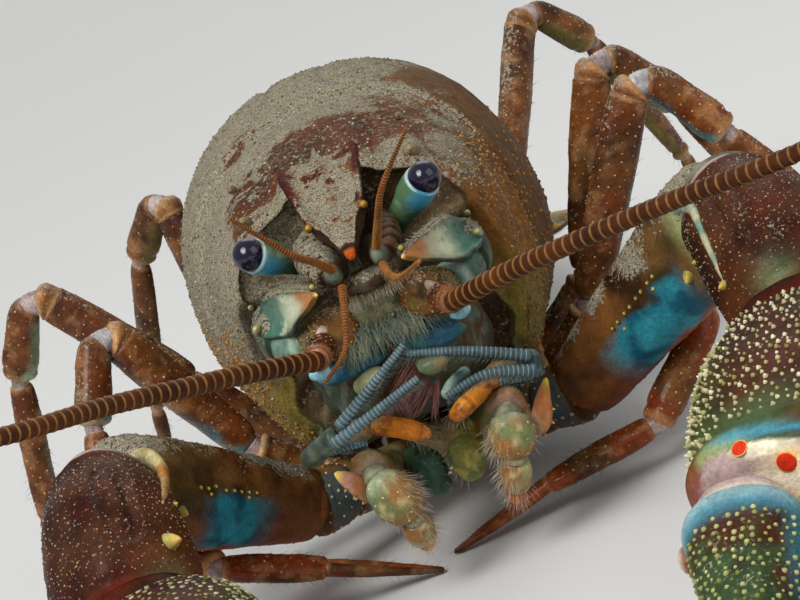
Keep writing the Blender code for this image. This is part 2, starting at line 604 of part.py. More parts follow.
def build_feelers():
    for tag in ("l", "r"):
        path = ANTENNA_PATH[tag]
        stations = chain(path, (ANTENNA_ROOT, ANTENNA_END, 25))
        cut = 3 * ANTENNA_SPLIT
        near = stations[:cut + 1]
        far = stations[cut:]
        step = (far[1][0] - far[0][0]).normalized()
        sever = Vector(far[0][0])
        root = ((0, 0.1 - GAP, 0), (0, 1, 0))
        bm = sweep(near, (0, 0, 1), 8, 2.0, root, (sever - step * (GAP / 2), step))
        add("antenna_%s_near" % tag, "antenna", [bm])
        bm = sweep(far, (0, 0, 1), 8, 2.0, (sever + step * (GAP / 2), step), None)
        add("antenna_%s_far" % tag, "antenna", [bm])
    upper = {"l": ((2.0, 0.8, 28.6), (3.0, -2, 31.0), (4.4, -4.4, 33.7), (7.8, -6.5, 37.3)),
             "r": ((-1.7, 0.8, 28.3), (-2.6, -2, 30.0), (-4.0, -4.4, 31.9), (-6.8, -7, 36.6))}
    lower = {"l": ((1.9, 0.6, 27.3), (2.2, -2.4, 26.9), (3.0, -6, 27.2), (4.8, -10.5, 28.6)),
             "r": ((-1.6, 0.6, 27.0), (-2.2, -2.4, 25.4), (-3.2, -4.6, 23.4), (-5.4, -6.4, 22.2))}
    for s, tag in ((1, "l"), (-1, "r")):
        stalk = [((1.8 * s, 9.5, 27.2), 1.0, 1.1), ((2.0 * s, 5.8, 27.4), 1.3, 1.25),
                 ((1.95 * s, 2.4, 27.7), 1.0, 1.1), ((1.9 * s, 0.0, 28.0), 0.6, 0.8)]
        pieces = [sweep(stalk, (1, 0, 0), 8)]
        pieces.append(sweep(chain(upper[tag], (0.42, 0.25, 8)), (0, 1, 0), 6))
        pieces.append(sweep(chain(lower[tag], (0.38, 0.25, 7)), (0, 0, 1), 6))
        add("antennule_" + tag, "antenna", pieces)


def build_mouthparts():
    knee = {"l": (6.4, 2.6, 13.4), "r": (-5.8, 2.6, 13.0)}
    bend = {"l": (5.2, 2.8, 8.4), "r": (-4.1, 3.0, 7.2)}
    tip = {"l": (3.8, 5.0, 4.4), "r": (-4.0, 5.2, 3.8)}
    for s, tag in ((1, "l"), (-1, "r")):
        k, b, t = Vector(knee[tag]), Vector(bend[tag]), Vector(tip[tag])
        root = Vector((3.4 * s, 17.5, 8.2))
        mid = Vector((5.6 * s, 9.5, 9.8))
        ahead = (k - mid).normalized()
        sever = k - ahead * MAXILLIPED_REACH
        shaft = [(root, 1.7, 1.6), (lerp(root, mid, 0.5), 2.1, 1.8), (mid, 2.2, 1.9),
                 (sever - ahead * GAP, 1.7, 1.7)]
        bm = sweep(shaft, (1, 0, 0), 10, 2.2, None, (shaft[-1][0], ahead))
        add("maxilliped_%s_upper" % tag, "mouthpart", [bm])
        rod = [(p, r, r) for p, r in zip(corner(mid, k, b, MAXILLIPED_REACH), (1.35, 1.4, 1.45, 1.5, 1.6))]
        rod += [(lerp(k, b, 0.8), 1.7, 1.6), (b, 1.15, 1.1),
                (lerp(b, t, 0.4), 1.2, 1.15), (lerp(b, t, 0.8), 0.9, 0.8), (t, 0.45, 0.4)]
        bm = sweep(rod, (1, 0, 0), 10, 2.2, (sever, ahead), None)
        add("maxilliped_%s_lower" % tag, "mouthpart", [bm])
    arms = {"l": ((9.4, 0.8, 16.0), (5.0, 0.4, 18.5), (0.8, 0.2, 20.2)),
            "r": ((-7.2, 0.8, 16.6), (-3.4, 0.2, 18.9), (0.0, 0.0, 21.0))}
    low = {"l": ((9.4, 0.6, 14.8), (5.8, -0.2, 16.3), (2.2, -0.4, 16.0)),
           "r": ((-8.0, 0.6, 15.2), (-4.2, -0.2, 16.3), (-0.4, -0.6, 17.4))}
    for s, tag in ((1, "l"), (-1, "r")):
        fork = (Vector(low[tag][0]) + Vector(arms[tag][0])) / 2
        trunk = [((9.2 * s, 13.0, 12.6), 0.7, 0.7), ((9.4 * s, 8.0, 13.8), 0.75, 0.75),
                 (Vector((9.4 * s, 3.6, 14.9)), 0.75, 0.8), (fork, 0.65, 1.0)]
        pieces = [sweep(trunk, (1, 0, 0), 8)]
        pieces.append(sweep(chain(arms[tag], (0.52, 0.38, 6)), (0, 1, 0), 8))
        pieces.append(sweep(chain(low[tag], (0.52, 0.38, 6)), (0, 1, 0), 8))
        add("exopod_" + tag, "mouthpart", pieces)


build_carapace()
build_sternum()
build_abdomen()
build_tail()
for leg_name, leg_joints in LEGS.items():
    build_leg(leg_name, leg_joints)
for claw_tag in ("l", "r"):
    build_claw(claw_tag)
build_head()
build_feelers()
build_mouthparts()

lows = [min(v.co[i] for ob, _ in parts.values() for v in ob.data.vertices) for i in range(3)]
highs = [max(v.co[i] for ob, _ in parts.values() for v in ob.data.vertices) for i in range(3)]
shift = Vector(((lows[0] + highs[0]) / 2, (lows[1] + highs[1]) / 2, FLOOR))

paints = {}
for slot, colour in COLOURS.items():
    paint = bpy.data.materials.new(slot)
    paint.use_nodes = True
    shader = paint.node_tree.nodes["Principled BSDF"]
    shader.inputs["Base Color"].default_value = (*colour, 1.0)
    shader.inputs["Roughness"].default_value = ROUGHNESS.get(slot, 0.55)
    paints[slot] = paint

for name, (ob, slot) in parts.items():
    mesh = ob.data
    for v in mesh.vertices:
        v.co = (v.co - shift) * MM
    centre = sum((v.co for v in mesh.vertices), Vector()) / len(mesh.vertices)
    for v in mesh.vertices:
        v.co -= centre
    ob.location = centre
    mesh.materials.clear()
    mesh.materials.append(paints[slot])
    for face in mesh.polygons:
        face.use_smooth = True
    mesh.name = name
    ob.name = name
    mesh.update()
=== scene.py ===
import math
import bpy
import numpy as np
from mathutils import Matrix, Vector


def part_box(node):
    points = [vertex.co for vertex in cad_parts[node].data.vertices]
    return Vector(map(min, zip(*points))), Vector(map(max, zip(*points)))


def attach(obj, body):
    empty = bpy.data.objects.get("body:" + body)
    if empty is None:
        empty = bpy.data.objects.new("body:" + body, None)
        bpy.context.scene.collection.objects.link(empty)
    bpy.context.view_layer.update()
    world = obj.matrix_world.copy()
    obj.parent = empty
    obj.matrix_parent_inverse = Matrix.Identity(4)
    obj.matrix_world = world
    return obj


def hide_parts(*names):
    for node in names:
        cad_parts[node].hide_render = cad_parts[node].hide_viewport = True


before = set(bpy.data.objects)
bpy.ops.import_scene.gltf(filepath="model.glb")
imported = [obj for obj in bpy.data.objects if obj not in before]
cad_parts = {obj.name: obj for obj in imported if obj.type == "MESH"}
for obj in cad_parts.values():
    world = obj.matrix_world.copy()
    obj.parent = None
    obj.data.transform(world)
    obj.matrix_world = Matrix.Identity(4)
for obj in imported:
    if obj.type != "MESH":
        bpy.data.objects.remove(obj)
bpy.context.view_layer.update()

# Lengths are millimetres in the animal's own frame: y = 0 at the rostrum tip and +y to the
# tail, +x to its left side, z = 0 the floor. ORIGIN, read from the frame, turns them to metres.
MM = 0.001
CARAPACE_LOW, CARAPACE_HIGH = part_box("carapace")
ORIGIN = np.array([(CARAPACE_LOW.x + CARAPACE_HIGH.x) / 2, CARAPACE_LOW.y, 0.0])
SIDES = {"l": 1, "r": -1}
ACROSS, AHEAD, UPWARD = (1, 0, 0), (0, 1, 0), (0, 0, 1)

# camera that the photograph was fitted with
CAMERA_TARGET = (2.03, 0.0, 24.31)
CAMERA_DISTANCE = 222.75
CAMERA_AZIMUTH = 1.52
CAMERA_ELEVATION = 12.01
CAMERA_ROLL = -24.08
FOCAL_PIXELS = 2918.0
PHOTO_WIDTH = 800.0
SENSOR = 36.0

# trunk profiles, as the solids have them
CARAPACE_REAR = 62.0
FRONT_TOP_Y = 12.5
FRONT_TOP_Z = 33.0
FRONT_SLOPE = 0.26
TOP_LINE = ((12, 32.9), (20, 34.5), (30, 35.8), (37, 35.9), (42, 36.7), (50, 37.0), (58, 36.0), (62, 34.8))
HALF_WIDTH = ((12, 10.2), (16, 11.6), (20, 12.7), (25, 13.6), (30, 14.3), (36, 15.6), (42, 16.6),
              (48, 16.9), (55, 16.2), (62, 14.4))
WIDEST_Z = ((12, 25.0), (20, 23.0), (30, 21.0), (45, 19.5), (62, 19.0))
VIRTUAL_BOTTOM = ((12, 13.0), (20, 7.0), (30, 5.2), (45, 5.0), (62, 5.0))
MARGIN_Z = ((12, 17.0), (20, 10.5), (30, 8.6), (40, 9.4), (46, 12.0), (52, 14.4), (58, 17.0), (62, 18.4))
INNER_Z = ((12, 16.5), (20, 11.5), (26, 9.4), (30, 8.3), (48, 8.2), (56, 10.0), (62, 12.4))
INNER_HALF = 7.4
GROOVE_Y = ((0, 37.0), (40, 35.0), (75, 30.0), (105, 26.5), (160, 25.0))
GROOVE_DEPTH = 0.8


def hexa(code):
    """Linear colour of a hexadecimal display colour."""
    raw = np.array([int(code[i:i + 2], 16) for i in (0, 2, 4)]) / 255.0
    return np.where(raw <= 0.04045, raw / 12.92, ((raw + 0.055) / 1.055) ** 2.4)


def shade(c):
    """Numbers of a colour that is given as numbers or in hexadecimal."""
    return hexa(c) if isinstance(c, str) else np.asarray(c, float)


def mix(a, b, t):
    """Colours or points between a and b; t may be an array of shares, one for each of them."""
    t = np.asarray(t, float)
    if t.ndim:
        t = t[..., None]
    return shade(a) * (1 - t) + shade(b) * t


def layers(base, *coats):
    """Base colour with coats (colour, share) laid over it one by one."""
    for tint, share in coats:
        base = mix(base, tint, share)
    return base


def ramp(low, high, x):
    """Smooth step from 0 below low to 1 above high."""
    t = np.clip((np.asarray(x, float) - low) / (high - low), 0, 1)
    return t * t * (3 - 2 * t)


def bump(x, width):
    """Bell from 1 at x = 0 to nothing beyond about twice the width."""
    return np.exp(-(np.asarray(x, float) / width) ** 2)


def unit(v):
    v = np.asarray(v, float)
    return v / np.maximum(np.linalg.norm(v, axis=-1, keepdims=True), 1e-9)


def power(v, e):
    """Power that keeps the sign."""
    return np.sign(v) * np.abs(v) ** e


def turns(count):
    """Angles of points spread evenly round a circle."""
    return np.arange(count) * 2 * math.pi / count


def columns(a):
    """The last axis of an array as separate arrays."""
    return np.moveaxis(a, -1, 0)


def curve(pairs, x):
    """Smooth values at x of a profile given as (position, value) pairs; a value may be a point."""
    knots = np.array([p[0] for p in pairs], float)
    values = np.array([p[1] for p in pairs], float)
    last = len(knots) - 1
    ahead = np.minimum(np.arange(last + 1) + 1, last)
    behind = np.maximum(np.arange(last + 1) - 1, 0)
    spread = (knots[ahead] - knots[behind]).reshape((-1,) + (1,) * (values.ndim - 1))
    slopes = (values[ahead] - values[behind]) / spread
    x = np.clip(np.asarray(x, float), knots[0], knots[-1])
    i = np.clip(np.searchsorted(knots, x, side="right") - 1, 0, last - 1)
    h = knots[i + 1] - knots[i]
    t = (x - knots[i]) / h
    if values.ndim > 1:
        h, t = h[..., None], t[..., None]
    out = (2 * t ** 3 - 3 * t ** 2 + 1) * values[i] + (t ** 3 - 2 * t ** 2 + t) * h * slopes[i]
    return out + (3 * t ** 2 - 2 * t ** 3) * values[i + 1] + (t ** 3 - t ** 2) * h * slopes[i + 1]


def noise(p, size, seed=0):
    """Smooth noise from -1 to 1 whose bumps are about size millimetres across."""
    q = np.asarray(p, float) / size + seed * 17.3
    cell = np.floor(q).astype(np.int64)
    f = q - cell
    f = f * f * (3 - 2 * f)
    total = 0.0
    for k in range(8):
        o = np.array([(k >> 2) & 1, (k >> 1) & 1, k & 1])
        weight = np.prod(np.where(o == 1, f, 1 - f), axis=-1)
        c = cell + o
        h = (c[..., 0] * 374761393 + c[..., 1] * 668265263 + c[..., 2] * 1103515245 + seed * 97477) & 0xFFFFFFFF
        h = ((h ^ (h >> 13)) * 1274126177) & 0xFFFFFFFF
        total = total + weight * (((h ^ (h >> 16)) & 0xFFFF) / 32767.5 - 1)
    return total


def fractal(p, size, seed=0, octaves=3):
    """Noise with finer noise on it."""
    return sum(noise(p, size / 2 ** k, seed + k) * 0.55 ** k for k in range(octaves)) * 0.8


def grid_normals(points, around):
    """Normals of a grid of points (rows, columns, 3)."""
    along = np.gradient(points, axis=0)
    if around:
        across = np.roll(points, -1, axis=1) - np.roll(points, 1, axis=1)
    else:
        across = np.gradient(points, axis=1)
    return unit(np.cross(across, along))


def outward(points):
    """Normals of a closed tube of rings, facing away from its middle line."""
    normals = grid_normals(points, True)
    away = points - points.mean(1, keepdims=True)
    return -normals if np.sum(normals * away) < 0 else normals


def push(points, normals, relief):
    """Points moved out along their normals by a height each."""
    return points + normals * relief[..., None]


def floor_stop(p):
    p[..., 2] = np.maximum(p[..., 2], 0.0)
    return p


def ring_quads(rows, cols):
    """Faces between the rings of a closed tube, and the indices of each point and of its neighbour."""
    left = np.arange(rows * cols).reshape(rows, cols)
    right = np.roll(left, -1, axis=1)
    return np.stack([left[:-1], right[:-1], right[1:], left[1:]], -1).reshape(-1, 4), left, right


def volume(points, quads, tris):
    """Six times the volume inside the faces, negative where they face inwards."""
    t = points[np.vstack([quads[:, [0, 1, 2]], quads[:, [0, 2, 3]], tris])]
    return float(np.sum(t[:, 0] * np.cross(t[:, 1], t[:, 2])))


class Piece:
    """Vertices, faces, colours and dust of one object, gathered in millimetres."""

    def __init__(self):
        self.points, self.tints, self.dusts, self.quads, self.tris = [], [], [], [], []
        self.count = 0

    def add(self, points, quads, tris, tint, dust):
        points = np.asarray(points, float).reshape(-1, 3)
        self.points.append(points)
        self.tints.append(np.broadcast_to(tint.reshape(-1, 3), points.shape))
        self.dusts.append(np.broadcast_to(np.asarray(dust, float).reshape(-1), len(points)))
        self.quads.append(quads + self.count)
        self.tris.append(tris + self.count)
        self.count += len(points)

    def grid(self, points, tint, dust=0.0, caps=True):
        """A tube of rings, closed at both ends by caps."""
        rows, cols = points.shape[:2]
        tint = np.broadcast_to(shade(tint), points.shape).reshape(-1, 3)
        dust = np.broadcast_to(np.asarray(dust, float), (rows, cols)).reshape(-1)
        flat = points.reshape(-1, 3)
        quads, left, right = ring_quads(rows, cols)
        tris = np.zeros((0, 3), int)
        if caps:
            flat = np.vstack([flat, points[0].mean(0), points[-1].mean(0)])
            tint = np.vstack([tint, tint[0], tint[-1]])
            dust = np.append(dust, [dust[0], dust[-1]])
            centre = np.full(cols, rows * cols)
            tris = np.vstack([np.stack([right[0], left[0], centre], -1),
                              np.stack([left[-1], right[-1], centre + 1], -1)])
            if volume(flat, quads, tris) < 0:
                quads, tris = quads[:, ::-1], tris[:, ::-1]
        self.add(flat, quads, tris, tint, dust)

    def copies(self, points, quads, tris, share, tint, tip, dust=0.0):
        """Many small forms of one make, coloured from tint at the root to tip at the end."""
        n, per = points.shape[:2]
        tint = np.broadcast_to(shade(tint), (n, 3))
        tip = tint if tip is None else np.broadcast_to(shade(tip), (n, 3))
        offset = (np.arange(n) * per)[:, None, None]
        self.add(points, (quads + offset).reshape(-1, 4), (tris + offset).reshape(-1, 3),
                 mix(tint[:, None], tip[:, None], np.broadcast_to(share, (n, per))),
                 np.repeat(np.broadcast_to(dust, n), per))

    def build(self, name, paint, slot, *nodes):
        """Makes the object, which rides on the body and stands for the named nodes."""
        points = np.vstack(self.points) * MM + ORIGIN
        quads, tris = np.vstack(self.quads), np.vstack(self.tris)
        mesh = bpy.data.meshes.new(name)
        mesh.vertices.add(len(points))
        mesh.vertices.foreach_set("co", points.ravel())
        corners = np.concatenate([quads.ravel(), tris.ravel()])
        starts = np.concatenate([np.arange(len(quads)) * 4, len(quads) * 4 + np.arange(len(tris)) * 3])
        mesh.loops.add(len(corners))
        mesh.loops.foreach_set("vertex_index", corners)
        mesh.polygons.add(len(starts))
        mesh.polygons.foreach_set("loop_start", starts)
        mesh.update(calc_edges=True)
        mesh.polygons.foreach_set("use_smooth", np.ones(len(starts), bool))
        tints = np.ones((len(points), 4))
        tints[:, :3] = np.clip(np.vstack(self.tints), 0, 1)
        mesh.attributes.new("tint", "FLOAT_COLOR", "POINT").data.foreach_set("color", tints.ravel())
        dusts = np.concatenate(self.dusts)
        mesh.attributes.new("dust", "FLOAT", "POINT").data.foreach_set("value", dusts)
        mesh.validate()
        mesh.materials.append(paint)
        ob = bpy.data.objects.new(name, mesh)
        bpy.context.scene.collection.objects.link(ob)
        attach(ob, "root")
        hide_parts(*nodes)


def frames(ways, hint=(0.31, 0.22, 0.92)):
    """Two directions across each way."""
    side = unit(np.cross(ways, np.asarray(hint, float)))
    return side, np.cross(ways, side)


def circles(a, b, sides):
    """Directions round each place, in the plane of its directions a and b."""
    turn = turns(sides)
    return a[:, None] * np.cos(turn)[None, :, None] + b[:, None] * np.sin(turn)[None, :, None]


def studs(piece, at, out, radius, height, tint, tip=None, sharp=0.0, sides=8, dust=0.0):
    """Many small domes, or cones where sharp is 1, rooted a little under the surface."""
    n = len(at)
    levels = np.array([-0.35, 0.15, 0.55, 0.85]) if sharp < 0.5 else np.array([-0.25, 0.3, 0.7, 0.93])
    up = np.maximum(levels, 0)
    reach = (1 - sharp) * np.sqrt(1 - up ** 2) + sharp * (1 - up)
    radius, height = np.broadcast_to(radius, n), np.broadcast_to(height, n)
    ring = circles(*frames(out), sides)
    body = at[:, None, None] + ring[:, None] * (radius[:, None] * reach)[:, :, None, None]
    body = body + out[:, None, None] * (height[:, None] * levels)[:, :, None, None]
    top = (at + out * height[:, None])[:, None]
    points = np.concatenate([body.reshape(n, -1, 3), top], axis=1)
    quads, left, right = ring_quads(len(levels), sides)
    roof = np.stack([right[-1], left[-1], np.full(sides, points.shape[1] - 1)], -1)
    base = np.stack([left[0], right[0], np.full(sides, 0)], -1)[1:-1]
    share = np.append(np.repeat(np.clip(levels, 0, 1), sides), 1.0)
    piece.copies(points, quads[:, ::-1], np.vstack([roof, base]), share, tint, tip, dust)


def hairs(piece, roots, ways, lengths, width, tint, sag=(0, 0, -0.2), joints=4, tip=None):
    """Many thin bent three-sided hairs."""
    n = len(roots)
    t = np.linspace(0, 1, joints + 1)
    lengths = np.broadcast_to(lengths, n)
    spine = roots[:, None] + ways[:, None] * (lengths[:, None] * t)[..., None]
    spine = spine + np.asarray(sag, float) * (lengths[:, None] * t ** 2)[..., None]
    reach = np.broadcast_to(width, n)[:, None] * (1 - 0.93 * t) ** 0.8
    ring = circles(*frames(ways), 3)
    points = (spine[:, :, None] + ring[:, None] * reach[..., None, None]).reshape(n, -1, 3)
    quads = ring_quads(joints + 1, 3)[0][:, ::-1]
    end = 3 * joints + 2
    piece.copies(points, quads, np.array([[0, 1, 2], [end, end - 1, end - 2]]), np.repeat(t, 3), tint, tip)


def scatter(points, gap, seed, keep, around=True):
    """Places at least gap apart on a grid surface, denser where keep is high, and their normals."""
    rng = np.random.default_rng(seed)
    normals = grid_normals(points, around)
    cols = points.shape[1]
    nxt = np.roll(points, -1, axis=1) if around else points[:, 1:]
    cur = points if around else points[:, :-1]
    area = np.linalg.norm(np.cross(nxt[:-1] - cur[:-1], cur[1:] - cur[:-1]), axis=-1)
    area = area * keep[:area.shape[0], :area.shape[1]]
    total = area.sum()
    tries = int(total / gap ** 2 * 3.2)
    pick = rng.choice(area.size, size=tries, p=(area / total).ravel())
    i, j = np.unravel_index(pick, area.shape)
    u, v = rng.random(tries)[:, None], rng.random(tries)[:, None]
    k = (j + 1) % cols

    def blend(field):
        top = field[i, j] * (1 - v) + field[i, k] * v
        low = field[i + 1, j] * (1 - v) + field[i + 1, k] * v
        return top * (1 - u) + low * u

    spots = blend(points)
    taken = {}
    chosen = []
    for n, cell in enumerate(map(tuple, np.floor(spots / gap).astype(int))):
        near = (q for dx in (-1, 0, 1) for dy in (-1, 0, 1) for dz in (-1, 0, 1)
                for q in taken.get((cell[0] + dx, cell[1] + dy, cell[2] + dz), ()))
        if all(np.sum((spots[n] - spots[q]) ** 2) > gap * gap for q in near):
            taken.setdefault(cell, []).append(n)
            chosen.append(n)
    chosen = np.array(chosen, int)
    return spots[chosen], unit(blend(normals)[chosen])


def beads(s, *rows):
    """Stations of a tube from rows x, y, z, half width and half height, mirrored where s is -1."""
    return [(np.array(row[:3], float) * [s, 1, 1], row[3], row[-1]) for row in rows]


def profile(a, b, rows):
    """Stations along one limb segment: rows give (share along, half depth, half width)."""
    a, b = np.array(a, float), np.array(b, float)
    return [(a + (b - a) * t, h, w) for t, h, w in rows]


# distances at which the rings of a rounded end sit, for an end of length 1
END_RINGS = 1 - np.cos(np.linspace(0, math.pi / 2, 6)[:-1])


def taper(from_start, from_end, ends, least):
    """Share of the full width near the two rounded ends."""
    shares = [np.sqrt(np.clip(1 - (1 - np.minimum(distance / reach, 1)) ** 2, least, 1))
              for distance, reach in ((from_start, ends[0]), (from_end, ends[1]))]
    return shares[0] * shares[1]


def section(sides, square):
    """Cross section between an ellipse, where square is 2, and a box."""
    angle = turns(sides)
    return power(np.cos(angle), 2 / square), power(np.sin(angle), 2 / square)


def tube(stations, hint, sides=40, square=2.2, step=0.4, ends=(0.6, 0.6), plain=False):
    """Grid of rings through stations (point, half width, half height) that closes roundly
    over the given end lengths. Returns points, normals and share along."""
    centres = np.array([s[0] for s in stations], float)
    knots = np.concatenate([[0], np.cumsum(np.linalg.norm(np.diff(centres, axis=0), axis=1))])
    total = knots[-1]
    count = max(int((total - ends[0] - ends[1]) / step), 2)
    d = np.concatenate([ends[0] * END_RINGS, np.linspace(ends[0], total - ends[1], count + 1),
                        (total - ends[1] * END_RINGS)[::-1]])
    if plain:
        spine = np.stack([np.interp(d, knots, centres[:, k]) for k in range(3)], -1)
    else:
        spine = curve(list(zip(knots, centres)), d)
    wide, tall = columns(curve([(k, s[1:]) for k, s in zip(knots, stations)], d))
    shrink = taper(d, total - d, ends, 0.0004)
    tangent = unit(np.gradient(spine, axis=0))
    side = unit(np.asarray(hint, float) - tangent * (tangent @ np.asarray(hint, float))[:, None])
    x, z = section(sides, square)
    points = spine[:, None] + side[:, None] * (wide * shrink)[:, None, None] * x[None, :, None]
    points = points + np.cross(tangent, side)[:, None] * (tall * shrink)[:, None, None] * z[None, :, None]
    return points, outward(points), np.repeat((d / total)[:, None], sides, 1)


def snap(grid, normals, *places):
    """Nearest grid points, and their normals, to the given places."""
    flat, out = grid.reshape(-1, 3), normals.reshape(-1, 3)
    picks = [int(np.argmin(np.sum((flat - np.array(p, float)) ** 2, axis=1))) for p in places]
    return flat[picks], out[picks]


def grains(piece, spots, out, seed, share, strength, size, sides=5):
    """Loose grains of silt in mixed greys, leaning every way."""
    rng = np.random.default_rng(seed)
    scale = rng.uniform(0.5, 1.5, len(spots))
    grey = mix(SILT_DARK, SILT_PALE, rng.random(len(spots)))
    grey = mix(grey, SILT_SPECK, (rng.random(len(spots)) < share) * strength)
    ways = unit(out + rng.normal(0, 0.35, out.shape))
    studs(piece, spots, ways, size[0] * scale, size[1] * scale, grey, sides=sides)


def silt(piece, grid, gap, seed, keep, grain=0.11):
    """Grains of silt lying on a surface."""
    grains(piece, *scatter(grid, gap, seed, keep), seed + 200, 0.16, 0.9, (grain, grain * 1.2))


def granules(piece, grid, gap, seed, keep, size, low, high, sharp=0.4, sides=6, dust=0.0):
    """Scattered small bumps with a pale top, sized by size = (radius, height)."""
    spots, out = scatter(grid, gap, seed, keep)
    if len(spots):
        rng = np.random.default_rng(seed + 100)
        scale = rng.uniform(0.65, 1.25, len(spots))
        hue = mix(low, high, rng.random(len(spots)))
        studs(piece, spots, unit(out), size[0] * scale, size[1] * scale, hue * 0.8, hue * 1.15, sharp, sides, dust)


def tuft(piece, p, seed, keep, gap, length, forward, width=0.022, tint="7a6a4a", tip=None):
    """Bristles scattered on a surface, leaning towards forward."""
    roots, out = scatter(p, gap, seed, keep + 1e-9)
    if len(roots):
        rng = np.random.default_rng(seed + 50)
        ways = unit(out + np.asarray(forward, float) * 0.9 + rng.normal(0, 0.25, out.shape))
        roots = roots - out * 0.03
        reach = length * rng.uniform(0.6, 1.2, len(roots))
        drop = np.minimum(roots[:, 2] / np.maximum(-ways[:, 2], 0.01) * 0.9, reach)
        hairs(piece, roots, ways, np.where(ways[:, 2] < 0, drop, reach), width, tint, (0, 0, 0), 3, tip)


def skin(piece, stations, hint, seed, tints, ends=(0.4, 0.4), sides=36, square=2.2, relief=(0.07, 0.02), bands=(),
         dust=0.0, bumps=None):
    """Closed tube with blotches of up to three tints, bands along its length and scattered bumps."""
    p, normal, t = tube(stations, hint, sides, square, 0.24, ends)
    p = floor_stop(push(p, normal, relief[0] * fractal(p, 2.0, seed) + relief[1] * fractal(p, 0.5, seed + 1)))
    tint = mix(tints[0], tints[1], ramp(-0.45, 0.45, fractal(p, 1.8, seed + 2)))
    if len(tints) > 2:
        tint = mix(tint, tints[2], ramp(0.05, 0.5, fractal(p, 0.9, seed + 3)))
    tint = layers(tint, *((colour, share * bump(t - place, width)) for colour, place, width, share in bands))
    piece.grid(p, tint, np.clip(dust * (ramp(-0.2, 0.9, normal[..., 2]) + 0.6 * fractal(p, 1.5, seed + 4)), 0, 1))
    if bumps:
        gap, size, low, high = bumps
        granules(piece, p, gap, seed + 5, (t > 0.04) * (t < 0.97), size, low, high, 0.3, 6, dust * 0.4)
    return p, normal, t


# materials
SILT_DARK, SILT_PALE, SILT_WARM, SILT_SPECK = map(hexa, ("5a5549", "a39b85", "7a6b52", "2c2822"))
DUSTY_ROUGHNESS = 0.9


def paint(name, rough, bump_size, bump_depth, coat, mottle, gloss):
    """Painted shell: the vertices' own tint with fine mottling, under a layer of silt grains."""
    mat = bpy.data.materials.new(name)
    mat.use_nodes = True
    nodes, links = mat.node_tree.nodes, mat.node_tree.links
    shader = nodes["Principled BSDF"]

    def node(kind, **values):
        made = nodes.new(kind)
        for key, value in values.items():
            if hasattr(made, key):
                setattr(made, key, value)
            else:
                made.inputs[key].default_value = value
        return made

    def fill(socket, value):
        if isinstance(value, float):
            socket.default_value = value
        elif isinstance(value, np.ndarray):
            socket.default_value = (*value, 1.0)
        else:
            links.new(value, socket)

    place = node("ShaderNodeTexCoord")

    def speck(size, detail=2.0):
        made = node("ShaderNodeTexNoise", Scale=1.0 / (size * MM), Detail=detail, Roughness=0.6)
        links.new(place.outputs["Object"], made.inputs["Vector"])
        return made.outputs["Fac"]

    def spread(value, *limits):
        made = node("ShaderNodeMapRange", interpolation_type="SMOOTHSTEP")
        for key, number in zip(("From Min", "From Max", "To Min", "To Max"), limits):
            made.inputs[key].default_value = number
        links.new(value, made.inputs["Value"])
        return made.outputs["Result"]

    def maths(kind, a, b):
        made = node("ShaderNodeMath", operation=kind)
        fill(made.inputs[0], a)
        fill(made.inputs[1], b)
        return made.outputs[0]

    def blend(factor, a, b, kind="MIX"):
        made = node("ShaderNodeMix", data_type="RGBA", blend_type=kind)
        for key, value in zip(("Factor", "A", "B"), (factor, a, b)):
            fill([s for s in made.inputs if s.name == key and s.enabled][0], value)
        return [s for s in made.outputs if s.enabled][0]

    tint = node("ShaderNodeAttribute", attribute_name="tint").outputs["Color"]
    dust = node("ShaderNodeAttribute", attribute_name="dust").outputs["Fac"]
    coarse = spread(speck(1.6), 0.3, 0.7, 1 - mottle, 1 + mottle)
    fine = spread(speck(0.28, 3.0), 0.3, 0.7, 1 - mottle, 1 + mottle)
    grey = node("ShaderNodeCombineColor")
    product = maths("MULTIPLY", coarse, fine)
    for socket in grey.inputs[:3]:
        links.new(product, socket)
    bare = blend(1.0, tint, grey.outputs[0], "MULTIPLY")
    grain = speck(0.13, 3.0)
    layer = blend(spread(grain, 0.36, 0.62, 0.0, 1.0), SILT_DARK, SILT_PALE)
    layer = blend(spread(speck(0.9), 0.35, 0.7, 0.0, 0.55), layer, SILT_WARM)
    layer = blend(spread(speck(0.2, 1.0), 0.60, 0.66, 0.0, 0.85), layer, SILT_SPECK)
    cover = spread(maths("ADD", dust, spread(speck(0.34, 4.0), 0.25, 0.75, -0.42, 0.42)), 0.38, 0.62, 0.0, 1.0)
    links.new(blend(cover, bare, layer), shader.inputs["Base Color"])
    links.new(spread(cover, 0.0, 1.0, rough, DUSTY_ROUGHNESS), shader.inputs["Roughness"])
    shader.inputs["Specular IOR Level"].default_value = gloss
    shader.inputs["Coat Weight"].default_value = coat
    shader.inputs["Coat Roughness"].default_value = 0.12
    height = maths("ADD", speck(bump_size, 3.0), maths("MULTIPLY", grain, 0.35))
    relief = node("ShaderNodeBump", Strength=1.0, Distance=bump_depth * MM)
    links.new(height, relief.inputs["Height"])
    links.new(relief.outputs["Normal"], shader.inputs["Normal"])
    return mat


